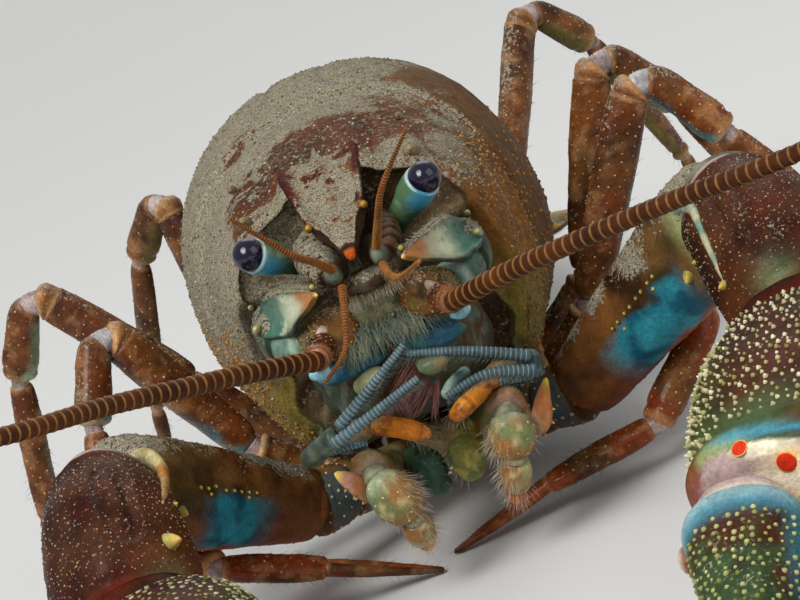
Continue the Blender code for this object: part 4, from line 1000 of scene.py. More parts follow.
def build_palm(tag):
    seed = 300 if tag == "l" else 340
    p, normal, reach, lateral, level = claw_grid(tag, PALM, 132)
    relief = 0.28 * fractal(p, 7.0, seed) + 0.05 * fractal(p, 0.8, seed + 3)
    relief += 0.3 * bump(reach - 1.2, 0.6) - 0.4 * bump(reach - 2.6, 0.7)
    knuckle = ramp(1.9, 0.7, lateral) * ramp(18.4, 19.6, reach) * ramp(-0.6, -0.2, level) * (reach < 25)
    relief = (relief * (1 - 0.8 * knuckle) + 0.4 * knuckle * bump(reach - 20.4, 0.9)
              - 0.25 * knuckle * bump(reach - 21.7, 0.3))
    relief += 0.3 * ramp(25, 30, reach) * bump(lateral - curve(((25, 6.5), (50, 0.8)), reach), 0.9) * (level > 0)
    p = floor_stop(push(p, normal, relief))

    # patch at the hinge: a blue and a green line, then cream with a fold of soft skin
    band = reach - 0.28 * np.clip(lateral + 4.4, -2, 5)
    joint = knuckle * ramp(21.75, 22.05, band)
    fold = joint * np.clip(ramp(-4.2, -5.2, lateral) + ramp(22.5, 22.75, reach) * ramp(-2.6, -3.4, lateral), 0, 1)
    tint = layers(
        claw_colour(p, normal, seed),
        (CLAW_OLIVE, ramp(-4.0, -8.5, lateral) * 0.8 * (level > -0.5)),
        ("465a34", 0.8 * ramp(3.0, -3.0, lateral) * ramp(15, 19.5, reach) * (reach < 25) * (level > -0.4)),
        ("8a3a20", 0.6 * ramp(34, 48, reach)),
        (HORN, ramp(47.5, 49.5, reach)),
        ("97a066", 0.85 * knuckle * bump(band - 21.4, 0.6) * ramp(-2.4, -4.4, lateral)),
        (mix(CREAM, "d9b98a", ramp(-0.2, 0.5, fractal(p, 1.6, seed + 9))), joint),
        (MEMBRANE, fold),
        (TURQUOISE, 0.95 * knuckle * bump(band - 20.95, 0.42) * ramp(-7.0, -4.4, lateral)),
        ("6e2a1a", 0.85 * knuckle * ramp(-6.9, -7.6, lateral)))
    piece = Piece()
    piece.grid(p, tint, 0.5 * claw_dust(p, normal, seed + 7, 0.05) * (1 - knuckle) * ramp(30, 6, reach))
    clear = (1 - knuckle) * (reach > 2.2) * ramp(-0.95, -0.5, level)
    ridge = ramp(-5.5, -7.5, lateral) > 0.4
    for gap, k, keep, size, low, *shape in (
            (0.58, 11, clear * (reach < 33), (0.21, 0.22), TUBERCLE_LOW, 0.6, 5, 0.2),
            (0.6, 12, clear * ridge * (reach < 24), (0.22, 0.36), TUBERCLE_LOW, 0.7, 6),
            (0.7, 13, clear * (reach >= 33) + 0.6 * (level < -0.5) * (reach > 3), (0.2, 0.16), "b98a52", 0.3, 6)):
        granules(piece, p, gap, seed + k, keep, size, low, TUBERCLE_HIGH, *shape)
    silt(piece, p, 0.75, seed + 14, clear * (normal[..., 2] > 0.4) * (reach < 16) + 1e-6, 0.07)
    teeth(piece, tag, PALM, 26.0, 48.5, -1)
    for spot_reach, spot_side, spot_level, wide in HINGE_SPOTS:
        miss = (reach - spot_reach) ** 2 + (lateral - spot_side) ** 2 + (3 * (level - spot_level)) ** 2
        at, out = snap(p, normal, p.reshape(-1, 3)[np.argmin(miss)])
        studs(piece, at, out, wide * 1.22, 0.05, "d9a860", "e0903a", sides=20)
        studs(piece, at + out * 0.03, out, wide * 1.05, 0.06, "c8321a", sides=20)
    piece.build("claw_%s_palm_shell" % tag, CLAW, "claw", "claw_%s_palm" % tag)


def teeth(piece, tag, rows, start, end, edge):
    """Row of rounded teeth on the cutting edge; edge is -1 for the inner and 1 for the outer one."""
    base, along, side, _ = claw_axes(tag)
    reach = np.arange(start, end, 0.95)
    inner, outer, _ = columns(curve(rows, reach))
    size = 0.34 + 0.16 * np.sin(reach * 1.7) ** 2 + 0.25 * bump(reach - start - 5.0, 0.7)
    size = size * ramp(end + 1.5, end - 6, reach)
    at = base + along * reach[:, None] + side * (inner if edge < 0 else outer)[:, None]
    at[:, 2] = np.maximum(at[:, 2], 0.4)
    out = np.repeat((side * edge)[None], len(reach), 0)
    studs(piece, at - out * 0.15, out, size, size * 1.1, "a8763f", "efe2bd", sides=9)


def build_dactyl(tag):
    seed = 400 if tag == "l" else 440
    p, normal, reach, lateral, level = claw_grid(tag, DACTYL, 96, (1.1, 0.9))
    root = ramp(28.0, 26.2, reach)
    relief = 0.2 * fractal(p, 5.0, seed) * (1 - root) - 0.3 * bump(reach - 25.9, 0.45) + 0.3 * bump(reach - 27.3, 0.7)
    keel = curve(((27, -3.6), (49, -2.6)), reach)
    relief += 0.35 * bump(lateral - keel, 0.8) * (level > 0) * ramp(28, 32, reach)
    p = floor_stop(push(p, normal, relief))
    tint = layers(
        "33452a",
        (CLAW_BROWN, ramp(-0.2, 0.6, fractal(p, 3.0, seed + 2))),
        (CLAW_MAROON, 0.7 * ramp(0.0, 0.6, fractal(p, 1.8, seed + 4))),
        (CLAW_UNDER, ramp(-0.25, -0.8, normal[..., 2]) * 0.85),
        (TURQUOISE, 0.95 * ramp(-1.8, -0.2, lateral) * ramp(42, 34, reach) * ramp(-0.6, 0.2, level)),
        (TURQUOISE, 0.75 * bump(reach - 28.3, 0.9) * (level > -0.3)),
        (TURQUOISE_PALE, 0.7 * bump(reach - 27.5, 0.6) * (level > -0.3)),
        (CREAM, ramp(27.3, 26.5, reach)),
        (MEMBRANE, ramp(26.3, 25.6, reach) * ramp(-0.5, -2.5, lateral)),
        (HORN, ramp(46.5, 48.6, reach)))
    piece = Piece()
    piece.grid(p, tint, claw_dust(p, normal, seed + 7, 0.3) * (1 - root) * 0.7)
    clear = (reach > 28.9) * ramp(-0.95, -0.5, level) * ramp(0.2, -0.8, lateral)
    granules(piece, p, 0.55, seed + 11, clear * (reach < 43), (0.2, 0.16), "667032", "b0ae72", 0.4, 6, 0.1)
    granules(piece, p, 0.6, seed + 12, clear * (reach >= 43), (0.17, 0.14), "a5884e", TUBERCLE_HIGH, 0.3)
    teeth(piece, tag, DACTYL, 29.5, 47.0, 1)
    at, out = snap(p, normal, p[reach > 26][np.argmin(lateral[reach > 26])])
    studs(piece, at, out, 1.0, 0.7, "7a2a1a", CREAM, sides=14)
    piece.build("claw_%s_dactyl_shell" % tag, CLAW, "claw", "claw_%s_dactyl" % tag)


def claw_arm(tag, s):
    """Joints of the arm, the direction across its bend and the one that its inner side faces."""
    hip, ischium, elbow, wrist = [np.array(p) for p in CLAW_ARM[tag]]
    hint = unit(np.cross(elbow - ischium, wrist - elbow))
    return hip, ischium, elbow, wrist, hint * (1 if hint[0] * s > 0 else -1), unit([-0.75 * s, -0.55, -0.15])


def build_claw_base(tag, s, seed):
    hip, ischium, _, _, _, inner = claw_arm(tag, s)
    piece = Piece()
    for a, b, rows in ((0.0, 0.55, ((0, 2.2, 2.3), (0.5, 2.6, 2.4), (1, 2.5, 2.4))),
                       (0.5, 1.05, ((0, 2.4, 2.3), (0.5, 2.8, 2.7), (1, 2.9, 2.8)))):
        stations = profile(hip + (ischium - hip) * a, hip + (ischium - hip) * b, rows)
        p, normal, t = tube(stations, UPWARD, 48)
        p = push(p, normal, 0.08 * fractal(p, 1.5, seed))
        piece.grid(p, layers(claw_colour(p, normal, seed), ("8c6a3c", 0.4 + 0.3 * fractal(p, 2.0, seed + 1)),
                             ("3a6068", 0.6 * ramp(0.3, 0.7, normal @ inner))), 0.1)
        granules(piece, p, 0.8, seed + 3, np.ones(t.shape), (0.16, 0.13), "9a6a3a", TUBERCLE_HIGH)
    piece.build("claw_%s_base_shell" % tag, CLAW, "claw", "claw_%s_base" % tag)


def build_merus(tag, s, seed):
    _, ischium, elbow, _, hint, inner = claw_arm(tag, s)
    rows = ((0.0, 2.7, 2.8), (0.08, 3.0, 3.2), (0.2, 3.1, 3.6), (0.5, 3.6, 4.4), (0.78, 4.0, 4.9), (0.93, 4.0, 4.7),
            (1.0, 3.7, 4.3))
    p, normal, t = tube(profile(ischium, elbow, rows), hint, 110, 2.3, 0.3, (0.9, 1.1), plain=True)
    facing = normal @ inner
    above = normal @ unit([-0.2 * s, -0.4, 1.0])
    relief = 0.15 * fractal(p, 4.0, seed) + 0.04 * fractal(p, 0.8, seed + 2) - 0.55 * ramp(0.7, 1.0, facing)
    relief += 0.35 * bump(facing - 0.52, 0.12) * (above > 0)
    relief += -0.35 * bump(t - 0.94, 0.012) + 0.2 * bump(t - 0.965, 0.01)
    p = push(p, normal, relief)
    low = normal @ unit([-0.6 * s, -0.5, -0.6]) + 0.12 * noise(p, 1.2, seed)
    first, last = (0.2, 0.84) if tag == "l" else (0.26, 0.74)
    blue = ramp(0.62, 0.84, low) * ramp(first, first + 0.2, t) * ramp(last, last - 0.12, t)
    tint = layers(
        claw_colour(p, normal, seed + 20),
        ("7a4f28", 0.75 * ramp(0.3, 0.7, facing) * ramp(-0.6, 0.4, fractal(p, 3.0, seed + 6))),
        (CLAW_OLIVE, 0.35 * ramp(0.4, 0.8, t) * ramp(0.1, 0.6, facing)),
        (mix("2a7c8a", "164f62", ramp(-0.2, 0.5, fractal(p, 2.0, seed + 4))), blue),
        ("8a9060" if tag == "l" else "96602e", 0.7 * ramp(0.84, 0.92, t) * ramp(0.35, 0.7, facing)),
        (CREAM, 0.75 * ramp(0.955, 0.985, t) * ramp(0.0, 0.5, facing)))
    dust = ramp(0.2, 0.8, claw_dust(p, normal, seed + 21, 0.75)) * (1 - blue)
    piece = Piece()
    piece.grid(p, tint, dust)
    outer = ramp(0.3, -0.2, facing) * (t > 0.05) * (t < 0.93)
    granules(piece, p, 0.75, seed + 22, outer, (0.1, 0.07), "8a5a34", "b89a70")
    silt(piece, p, 0.7, seed + 23, (dust > 0.35) * (normal[..., 2] > 0.3), 0.08)
    edge = ischium + (elbow - ischium) * np.linspace(0.42, 0.72, 8)[:, None] + unit([-0.75 * s, -0.65, 0.05]) * 4.2
    at, out = snap(p, normal, *edge)
    out = unit(out + inner * 0.3)
    studs(piece, at, out, 0.26, 0.14, "3f3a1e", "5a5226", sides=10)
    studs(piece, at + out * 0.08, out, 0.15, 0.12, "b99a3a", sides=10)
    for share, dip, size in ((0.84, 0.6, 0.62), (0.66, 0.15, 0.3), (0.45, 0.15, 0.3)):
        way = unit(unit([-0.75 * s, -0.55, -dip]) + unit(elbow - ischium) * 0.25)
        at, out = snap(p, normal, ischium + (elbow - ischium) * share + way * 4.2)
        studs(piece, at - way * 0.3, unit(way[None]), 0.95 * size, 1.7 * size, "6f7a3c", "c9a24a", 0.6, 16)
    piece.build("claw_%s_merus_shell" % tag, CLAW, "claw", "claw_%s_merus" % tag)


def build_carpus(tag, s, seed):
    _, _, elbow, wrist, hint, inner = claw_arm(tag, s)
    rows = ((0.0, 3.6, 4.0), (0.07, 3.9, 4.3), (0.2, 4.4, 4.7), (0.5, 5.1, 5.3), (0.8, 5.5, 5.4), (0.93, 4.8, 4.8),
            (1.0, 4.2, 4.2))
    lift = (0, 0.25, 0.5, 1.0, 0.5, 0.2, 0)
    straight = profile(elbow, wrist, rows)
    stations = [(c + np.array([0, 0, CARPUS_RISE * up]), h, w) for (c, h, w), up in zip(straight, lift)]
    p, normal, t = tube(stations, hint, 120, 2.3, 0.3, (1.0, 1.0))
    facing = normal @ inner
    relief = 0.25 * fractal(p, 5.0, seed + 30) + 0.05 * fractal(p, 0.9, seed + 31)
    relief += -0.5 * bump(t - 0.1, 0.02) + 0.3 * bump(t - 0.135, 0.02) - 0.3 * bump(t - 0.93, 0.012)
    groove = np.abs(normal @ unit([-0.4 * s, -0.35, 0.85]))
    relief -= 0.45 * bump(groove - 0.97, 0.02) * ramp(0.2, 0.4, t) * ramp(0.9, 0.7, t)
    p = push(p, normal, relief)
    coats = [
        ("442514", ramp(-0.5, 0.4, fractal(p, 4.0, seed + 32))),
        (CLAW_RED, 0.5 * ramp(0.1, 0.7, fractal(p, 2.4, seed + 33))),
        ("75401f", 0.45 * ramp(0.5, 0.9, facing) + 0.3 * ramp(-0.2, -0.8, normal[..., 2])),
        ("9a8580", ramp(0.13, 0.10, t) * ramp(-0.5, 0.1, normal[..., 2] + facing * 0.6)),
        ("d8cdb8", 0.9 * bump(t - 0.125, 0.018) * ramp(0.3, 0.7, facing)),
        ("6a2414", 0.7 * ramp(0.92, 0.96, t))]
    # painted shadow: the left carpus is painted near black towards the body, where the gap beside the merus lies in
    # shade
    if tag == "l":
        coats.append(("1c120d", 0.85 * ramp(24.9, 24.0, p[..., 0]) * ramp(0.85, 0.7, t)))
    coats.append(("93a878", 0.8 * bump(p - CARPUS_PATCH[tag], 1.5).prod(-1)))
    dust = 0.5 * claw_dust(p, normal, seed + 34, 0.3)
    piece = Piece()
    piece.grid(p, layers(CLAW_MAROON, *coats), dust)
    keep = (t > 0.14) * (t < 0.92)
    granules(piece, p, 0.75, seed + 35, keep, (0.09, 0.06), "7a4a2c", "b08a60")
    silt(piece, p, 0.42, seed + 36, keep * ramp(-0.1, 0.25, dust) * (normal[..., 2] > 0.0) + 1e-6, 0.06)
    for path, tints in JOINT_SKIN[tag]:
        skin(piece, beads(1, *((*c, r, r * 0.8) for *c, r in path)), UPWARD, seed + 38, tints, (0.2, 0.2), 24, 2.0,
             (0.04, 0.02))
    spine_root = elbow + (wrist - elbow) * 0.74
    for offset, way, size in (((-4.6, -2.4, 2.7), (-0.75, -0.65, 0.1), 0.36 if tag == "l" else 0.6),
                              ((-3.0, -0.6, -3.6), (-0.6, -0.7, -0.2), 0.4),
                              ((-3.8, 4.0, 3.4), (-0.7, -0.5, 0.2), 0.25)):
        at, _ = snap(p, normal, spine_root + np.array(offset) * [s, 1, 1])
        way = unit(np.array(way) * [s, 1, 1])
        studs(piece, at - way * 0.3, way[None], 1.4 * size, 2.6 * size, "7f8a52", "e0b45a", 0.7, 18)
    piece.build("claw_%s_carpus_shell" % tag, CLAW, "claw", "claw_%s_carpus" % tag)


for claw_tag, claw_side in SIDES.items():
    for build_part in (build_claw_base, build_merus, build_carpus):
        build_part(claw_tag, claw_side, 500 if claw_side > 0 else 560)
    build_palm(claw_tag)
    build_dactyl(claw_tag)


# walking legs: hip, end of basis, ischium-merus joint, knee, end of carpus, end of propodus and tip
LEGS = {
    "leg_2_l": ((5.6, 30, 5.6), (10.0, 29.3, 5.4), (15.4, 26.0, 7.2), (25.5, 15.5, 10.6),
                (16.6, 12.0, 3.6), (6.5, 12.2, 2.6), (-2.7, 13.4, 0.0)),
    "leg_2_r": ((-5.6, 30, 5.6), (-10.0, 29.3, 5.4), (-15.4, 27.5, 7.0), (-28.0, 20.0, 12.4),
                (-20.8, 11.6, 7.4), (-12.4, 10.6, 4.0), (-3.9, 10.2, 0.0)),
    "leg_3_l": ((5.6, 36, 5.6), (11.2, 35.4, 5.2), (16.0, 34.4, 9.4), (28.3, 35.0, 27.7),
                (33.4, 34.0, 19.0), (39.0, 33.0, 5.6), (40.8, 32.5, 0.0)),
    "leg_3_r": ((-5.6, 36, 5.6), (-11.2, 36.0, 5.2), (-16.2, 35.6, 9.6), (-24.3, 34.0, 26.3),
                (-27.8, 31.0, 18.3), (-29.6, 25.5, 5.4), (-30.0, 23.2, 0.0)),
    "leg_4_l": ((5.6, 43, 5.6), (11.2, 43.4, 5.4), (17.2, 44.0, 9.8), (26.2, 44.0, 29.3),
                (31.5, 46.5, 21.0), (37.5, 49.5, 6.0), (39.0, 50.5, 0.0)),
    "leg_4_r": ((-5.6, 43, 5.6), (-12.0, 44.2, 5.2), (-19.6, 47.4, 14.6), (-30.6, 49.0, 29.2),
                (-35.0, 51.0, 21.2), (-38.8, 53.5, 6.0), (-39.5, 54.5, 0.0)),
    "leg_5_l": ((5.6, 50, 5.6), (10.4, 53.4, 5.8), (14.9, 64.5, 17.0), (23.4, 76.0, 31.0),
                (28.6, 80.0, 24.2), (33.5, 86.0, 8.0), (34.8, 88.0, 0.0)),
    "leg_5_r": ((-5.6, 50, 5.6), (-10.6, 53.4, 5.6), (-16.0, 61.6, 13.0), (-17.0, 65.8, 30.3),
                (-21.9, 70.0, 24.0), (-27.5, 76.5, 8.0), (-29.0, 78.4, 0.0)),
}
KNEE_REACH = 3.1
LEG_ORANGE, LEG_BROWN, LEG_RED, LEG_PALE, LEG_TIP = "68401d", "3a2212", "7f3315", "cf9f6b", "3a1c10"
# share of red on the outer side, colour of the flexor side, and dust
LEG_STYLE = {"leg_2": (0.75, "b0532c", 0.08), "leg_3": (0.3, "3f93a0", 0.22), "leg_4": (0.2, "86a183", 0.25),
             "leg_5": (0.1, "6c6435", 0.25)}


def corner(before, knee, after, reach, count=7):
    """Points of a round bend at a joint between two straight runs."""
    back, ahead = unit(before - knee), unit(after - knee)
    half = math.acos(float(back @ ahead)) / 2
    centre = knee + unit(back + ahead) * reach / math.cos(half)
    start, end = knee + back * reach - centre, knee + ahead * reach - centre
    turn = math.acos(float(unit(start) @ unit(end)))
    t = np.linspace(0, 1, count)[:, None]
    return centre + (start * np.sin(turn * (1 - t)) + end * np.sin(turn * t)) / math.sin(turn)


def limb(piece, stations, hint, inside, seed, style, ends=(0.5, 0.5), sides=40, rim=True, bumps=0.72, dusty=1.0,
         tip=0.0):
    """One jointed-limb segment: shell with a raised rim, paler ends, small pale bumps and silt."""
    red, flexor, dust_share = style
    p, normal, t = tube(stations, hint, sides, 2.2, 0.26, ends)
    length = np.linalg.norm(np.array(stations[-1][0]) - np.array(stations[0][0]))
    facing = normal @ inside
    near_end = (1 - t) * length
    relief = 0.06 * fractal(p, 2.0, seed) + 0.02 * fractal(p, 0.5, seed + 1)
    if rim:
        relief = relief + 0.13 * bump(near_end - 0.65, 0.3) - 0.12 * bump(near_end - 1.25, 0.25)
    p = floor_stop(push(p, normal, relief))
    tint = layers(
        LEG_ORANGE,
        (LEG_BROWN, ramp(-0.5, 0.5, fractal(p, 2.6, seed + 2))),
        (LEG_RED, red * ramp(-0.5, 0.3, fractal(p, 3.4, seed + 3))),
        (LEG_PALE, 0.16 * ramp(0.1, 0.5, fractal(p, 1.1, seed + 4))),
        (flexor, 0.9 * ramp(0.25, 0.75, facing + 0.15 * noise(p, 1.2, seed + 5))),
        (LEG_PALE, 0.55 * ramp(1.1, 0.3, near_end) * rim + 0.3 * ramp(0.8, 0.2, t * length)),
        (LEG_TIP, tip * ramp(1.6, 0.5, near_end)))
    settled = ramp(0.0, 0.9, normal[..., 2]) + 0.5 * fractal(p, 2.0, seed + 6)
    dust = np.clip(dust_share * dusty * settled, 0, 1) * 1.9
    piece.grid(p, tint, dust)
    if bumps:
        keep = ramp(0.55, 0.2, facing) * ramp(0.05, 0.12, t) * (near_end > 0.9) + 1e-6
        granules(piece, p, bumps, seed + 7, keep, (0.1, 0.07), "8a5e36", "bf9a6c", 0.3, 6, 0.05)
    return p, t, facing


def soft_ring(piece, at, way, wide, tint=MEMBRANE, long=1.0, hint=(0.3, 0.2, 1)):
    """Ring of skin between two segments."""
    at, way = np.array(at, float), unit(way)
    rows = [(at + way * long * k, wide * w, wide * w) for k, w in ((-1, 0.9), (0, 1.0), (1, 0.9))]
    p, normal, t = tube(rows, hint, 28, 2.0, 0.12, (0.3, 0.3))
    p = floor_stop(push(p, normal, 0.05 * np.sin(t * long * 40)))
    tint = shade(tint)
    piece.grid(p, mix(tint, tint * 0.6, ramp(-0.3, 0.6, fractal(p, 0.8, 3))))


def build_leg(name, seed):
    hip, basis, ischium, knee, carpus, propodus, tip = np.array(LEGS[name], float)
    chela = name[4] in "23"
    plane = unit(np.cross(knee - basis, tip - basis))
    plane = plane * (1 if plane[1] > 0 else -1)
    inside = unit((basis + tip) / 2 - knee)
    thigh = unit(knee - ischium)
    sever = knee - thigh * KNEE_REACH
    bow = corner(ischium, knee, carpus, KNEE_REACH)
    shin, hand, foot = unit(carpus - knee), unit(propodus - carpus), unit(tip - propodus)

    def segment(stations, k, *shape, **more):
        return limb(piece, stations, plane, inside, seed + k, LEG_STYLE[name[:5]], *shape, **more)

    piece = Piece()
    rows = ((0, 1.9, 1.9), (0.35, 2.15, 2.05), (0.8, 2.0, 1.95), (1.0, 1.7, 1.75))
    segment(profile(hip, basis, rows), 0)
    rows = ((0, 1.35, 1.4), (0.25, 1.4, 1.65), (0.6, 1.2, 1.45), (0.92, 1.25, 1.5), (1.0, 1.1, 1.3))
    segment(profile(basis - unit(ischium - basis) * 0.3, ischium, rows), 10)
    soft_ring(piece, ischium, thigh, 1.1)
    rows = ((0.04, 0.95, 1.15), (0.12, 1.2, 1.6), (0.4, 1.3, 1.85), (0.75, 1.35, 1.95), (1.0, 1.33, 1.78))
    p, t, facing = segment(profile(ischium, sever, rows), 20, (0.5, 0.04), rim=False)
    tuft(piece, p, seed + 25, ramp(0.3, 0.7, facing), 1.1, 0.8, thigh)
    piece.build(name + "_upper_shell", LEG, "leg", name + "_upper")

    piece = Piece()
    merus = [(sever - thigh * 0.25, 1.36, 1.8), (bow[1], 1.42, 1.72), (bow[2] * 0.6 + bow[3] * 0.4, 1.3, 1.45)]
    segment(merus, 30, (0.04, 0.5), bumps=0.8)
    knee_tint = mix(MEMBRANE, TURQUOISE_PALE, 0.35 if chela else 0.1)
    soft_ring(piece, bow[3], bow[4] - bow[2], 1.12, knee_tint, 1.1, plane)
    rows = profile(knee, carpus, ((0.55, 1.45, 1.6), (0.85, 1.5, 1.7), (1.0, 1.1, 1.2)))
    p, t, facing = segment([(bow[3] * 0.6 + bow[4] * 0.4, 1.1, 1.15), (bow[5], 1.35, 1.45)] + rows, 40)
    tuft(piece, p, seed + 45, ramp(0.6, 0.9, t), 1.0, 0.7, shin)
    soft_ring(piece, carpus, hand, 0.82)
    wide = 1.25 if chela else 1.0
    rows = ((0.02, 0.8, 0.95), (0.1, 1.0, 1.2), (0.35, 1.05, 1.35 * wide), (0.75, 0.95, 1.3 * wide),
            (1.0, 0.75, 0.95 * wide))
    p, t, facing = segment(profile(carpus, propodus, rows), 50, rim=not chela)
    tuft(piece, p, seed + 55, ramp(0.35, 0.8, t), 0.62, 0.9, hand)
    if chela:
        spread = unit(np.cross(foot, plane))
        spread = spread * (1 if spread[2] > 0 else -1)
        for k, lift in ((0, 0.42), (10, -0.38)):
            bend = spread * lift
            finger = [(propodus - foot * 0.5 + bend * 1.0, 0.55, 0.5),
                      (propodus + (tip - propodus) * 0.3 + bend * 1.25, 0.5, 0.45),
                      (propodus + (tip - propodus) * 0.7 + bend * 0.9, 0.34, 0.32),
                      (tip + bend * 0.35 + (0, 0, 0.1), 0.16, 0.15)]
            p, t, facing = segment(finger, 60 + k, (0.4, 0.2), 24, False, 0, 0.3, 0.8)
            tuft(piece, p, seed + 65 + k, ramp(0.1, 0.3, t), 0.42, 0.8, foot, 0.02)
    else:
        soft_ring(piece, propodus, foot, 0.62, long=0.7)
        rows = ((0.02, 0.55, 0.6), (0.12, 0.7, 0.8), (0.5, 0.6, 0.64), (0.85, 0.34, 0.36), (1.0, 0.14, 0.14))
        p, t, facing = segment(profile(propodus, tip, rows), 60, (0.4, 0.15), 28, False, 0, 0.3, 0.9)
        tuft(piece, p, seed + 65, ramp(0.1, 0.3, t) * (p[..., 2] > 0.4), 0.42, 0.7, foot, 0.02)
    piece.build(name + "_lower_shell", LEG, "leg", name + "_lower")


for leg_index, leg_name in enumerate(LEGS):
    build_leg(leg_name, 1000 + 100 * leg_index)


# antennae, scales and mouth
SCALE_ORANGE = "b5702f"
SETA_DARK, SETA_PALE, SETA_RED, SETA_ROSE = "6d7462", "b9b196", "6b3a38", "a3706a"
MOUTH_TEAL, EXOPOD_GREY, EXOPOD_PALE = "42706c", "354448", "85938e"
MAX_GREEN, MAX_CREAM, MAX_ORANGE = "707c52", "b3a272", "96602c"
MAX_SETAE = ("a88f78", "e0cdb8")
SCALE_SIDES, SCALE_FRINGE = 60, 220


def build_antenna_base(tag, s):
    seed = 2000 if tag == "l" else 2060
    flip = np.array([s, 1, 1])
    piece = Piece()
    rows = beads(s, (8.3, 13.5, 23.7, 1.8, 2.1), (8.25, 11.9, 23.6, 2.0, 2.35), (8.1, 10.4, 23.3, 1.95, 2.25),
                 (7.7, 9.3, 22.9, 1.6, 1.8))
    p, normal, t = skin(piece, rows, ACROSS, seed, ("33452f", "454e2e", "1e251a"), dust=0.7,
                        bands=(("20281c", 0.93, 0.03, 0.8), ("7fae94", 1.0, 0.04, 0.6)))
    silt(piece, p, 0.55, seed + 7, (normal[..., 2] > 0.2) + 1e-6, 0.08)
    # the pale band at four fifths of this segment's length is a painted highlight
    rows = beads(s, (8.0, 9.9, 22.9, 1.55, 1.6), (7.0, 8.2, 22.4, 1.8, 1.78), (6.1, 6.8, 22.45, 1.72),
                 (5.6, 6.0, 22.55, 1.4))
    skin(piece, rows, ACROSS, seed + 10, ("44665a", "6f8873", "2f4034"), dust=0.25,
         bands=(("a9b8a8", 0.8, 0.1, 0.6), ("30261a", 0.02, 0.05, 0.7)))
    rows = beads(s, (5.8, 6.8, 22.5, 1.35), (5.0, 5.6, 22.65, 1.8), (3.95, 3.9, 23.2, 1.95), (3.5, 2.9, 23.5, 1.75),
                 (3.35, 2.4, 23.6, 1.4))
    p, normal, t = skin(piece, rows, ACROSS, seed + 20, ("5f5524", "7a5622", "2e2812"), dust=0.35,
                        bands=(("6e3a20", 0.93, 0.05, 0.8), ("3a2a1a", 0.05, 0.05, 0.6)),
                        bumps=(0.34, (0.09, 0.08), "5a4526", "c0a050"))
    silt(piece, p, 0.4, seed + 17, (normal[..., 2] > 0.3) * (t < 0.95) + 1e-6, 0.07)
    collar = beads(s, (4.6, 2.9, 23.1, 0.8), (4.95, 1.9, 22.95, 1.05, 1.1), (5.2, 1.1, 22.8, 1.12, 1.15),
                   (5.45, 0.35, 22.68, 0.98))
    skin(piece, collar, ACROSS, seed + 23, ("4c2412", "6e3a1c", "2a160d"), (0.4, 0.25), 32, 2.2, (0.12, 0.05),
         (("a89a8a", 0.1, 0.08, 0.8), ("96623a", 0.95, 0.05, 0.6)), 0.3, (0.4, (0.1, 0.08), "5a3018", "a87440"))
    soft_ring(piece, np.array((5.55, 0.0, 22.62)) * flip, (0.3 * s, -1, 0.1), 0.9, "8a5a3a", 0.35)
    web = beads(s, (4.2, 2.7, 24.2, 0.2, 0.3), (4.7, 2.1, 23.8, 0.25, 0.45), (5.5, 2.0, 22.9, 0.25, 0.5),
                (5.6, 2.2, 21.9, 0.25, 0.35))
    skin(piece, web, AHEAD, seed + 24, ("b3a797", "8f7f70"), (0.2, 0.2), 20)
    # painted highlight: a small pale white-blue lump under the flagellum's root
    patch = beads(s, (5.1, 1.3, 21.5, 0.35), (5.9, 0.95, 21.3, 0.5), (6.7, 1.3, 21.5, 0.3))
    skin(piece, patch, AHEAD, seed + 25, ("b4ccd2", "7fb0c0"), (0.25, 0.25), 16)
    thorns = np.array([[9.55, 10.4, 24.5], [9.5, 12.4, 26.0]]) * flip
    ways = unit(np.array([[0.02, -1, 0.3], [0.1, -1, 0.35]]) * flip)
    studs(piece, thorns, ways, (0.6, 0.3), (2.0, 0.8), "39503c", "cfc88a", 0.7, 16)
    piece.build("antenna_base_%s_segments" % tag, MOUTHPART, "mouthpart", "antenna_base_" + tag)


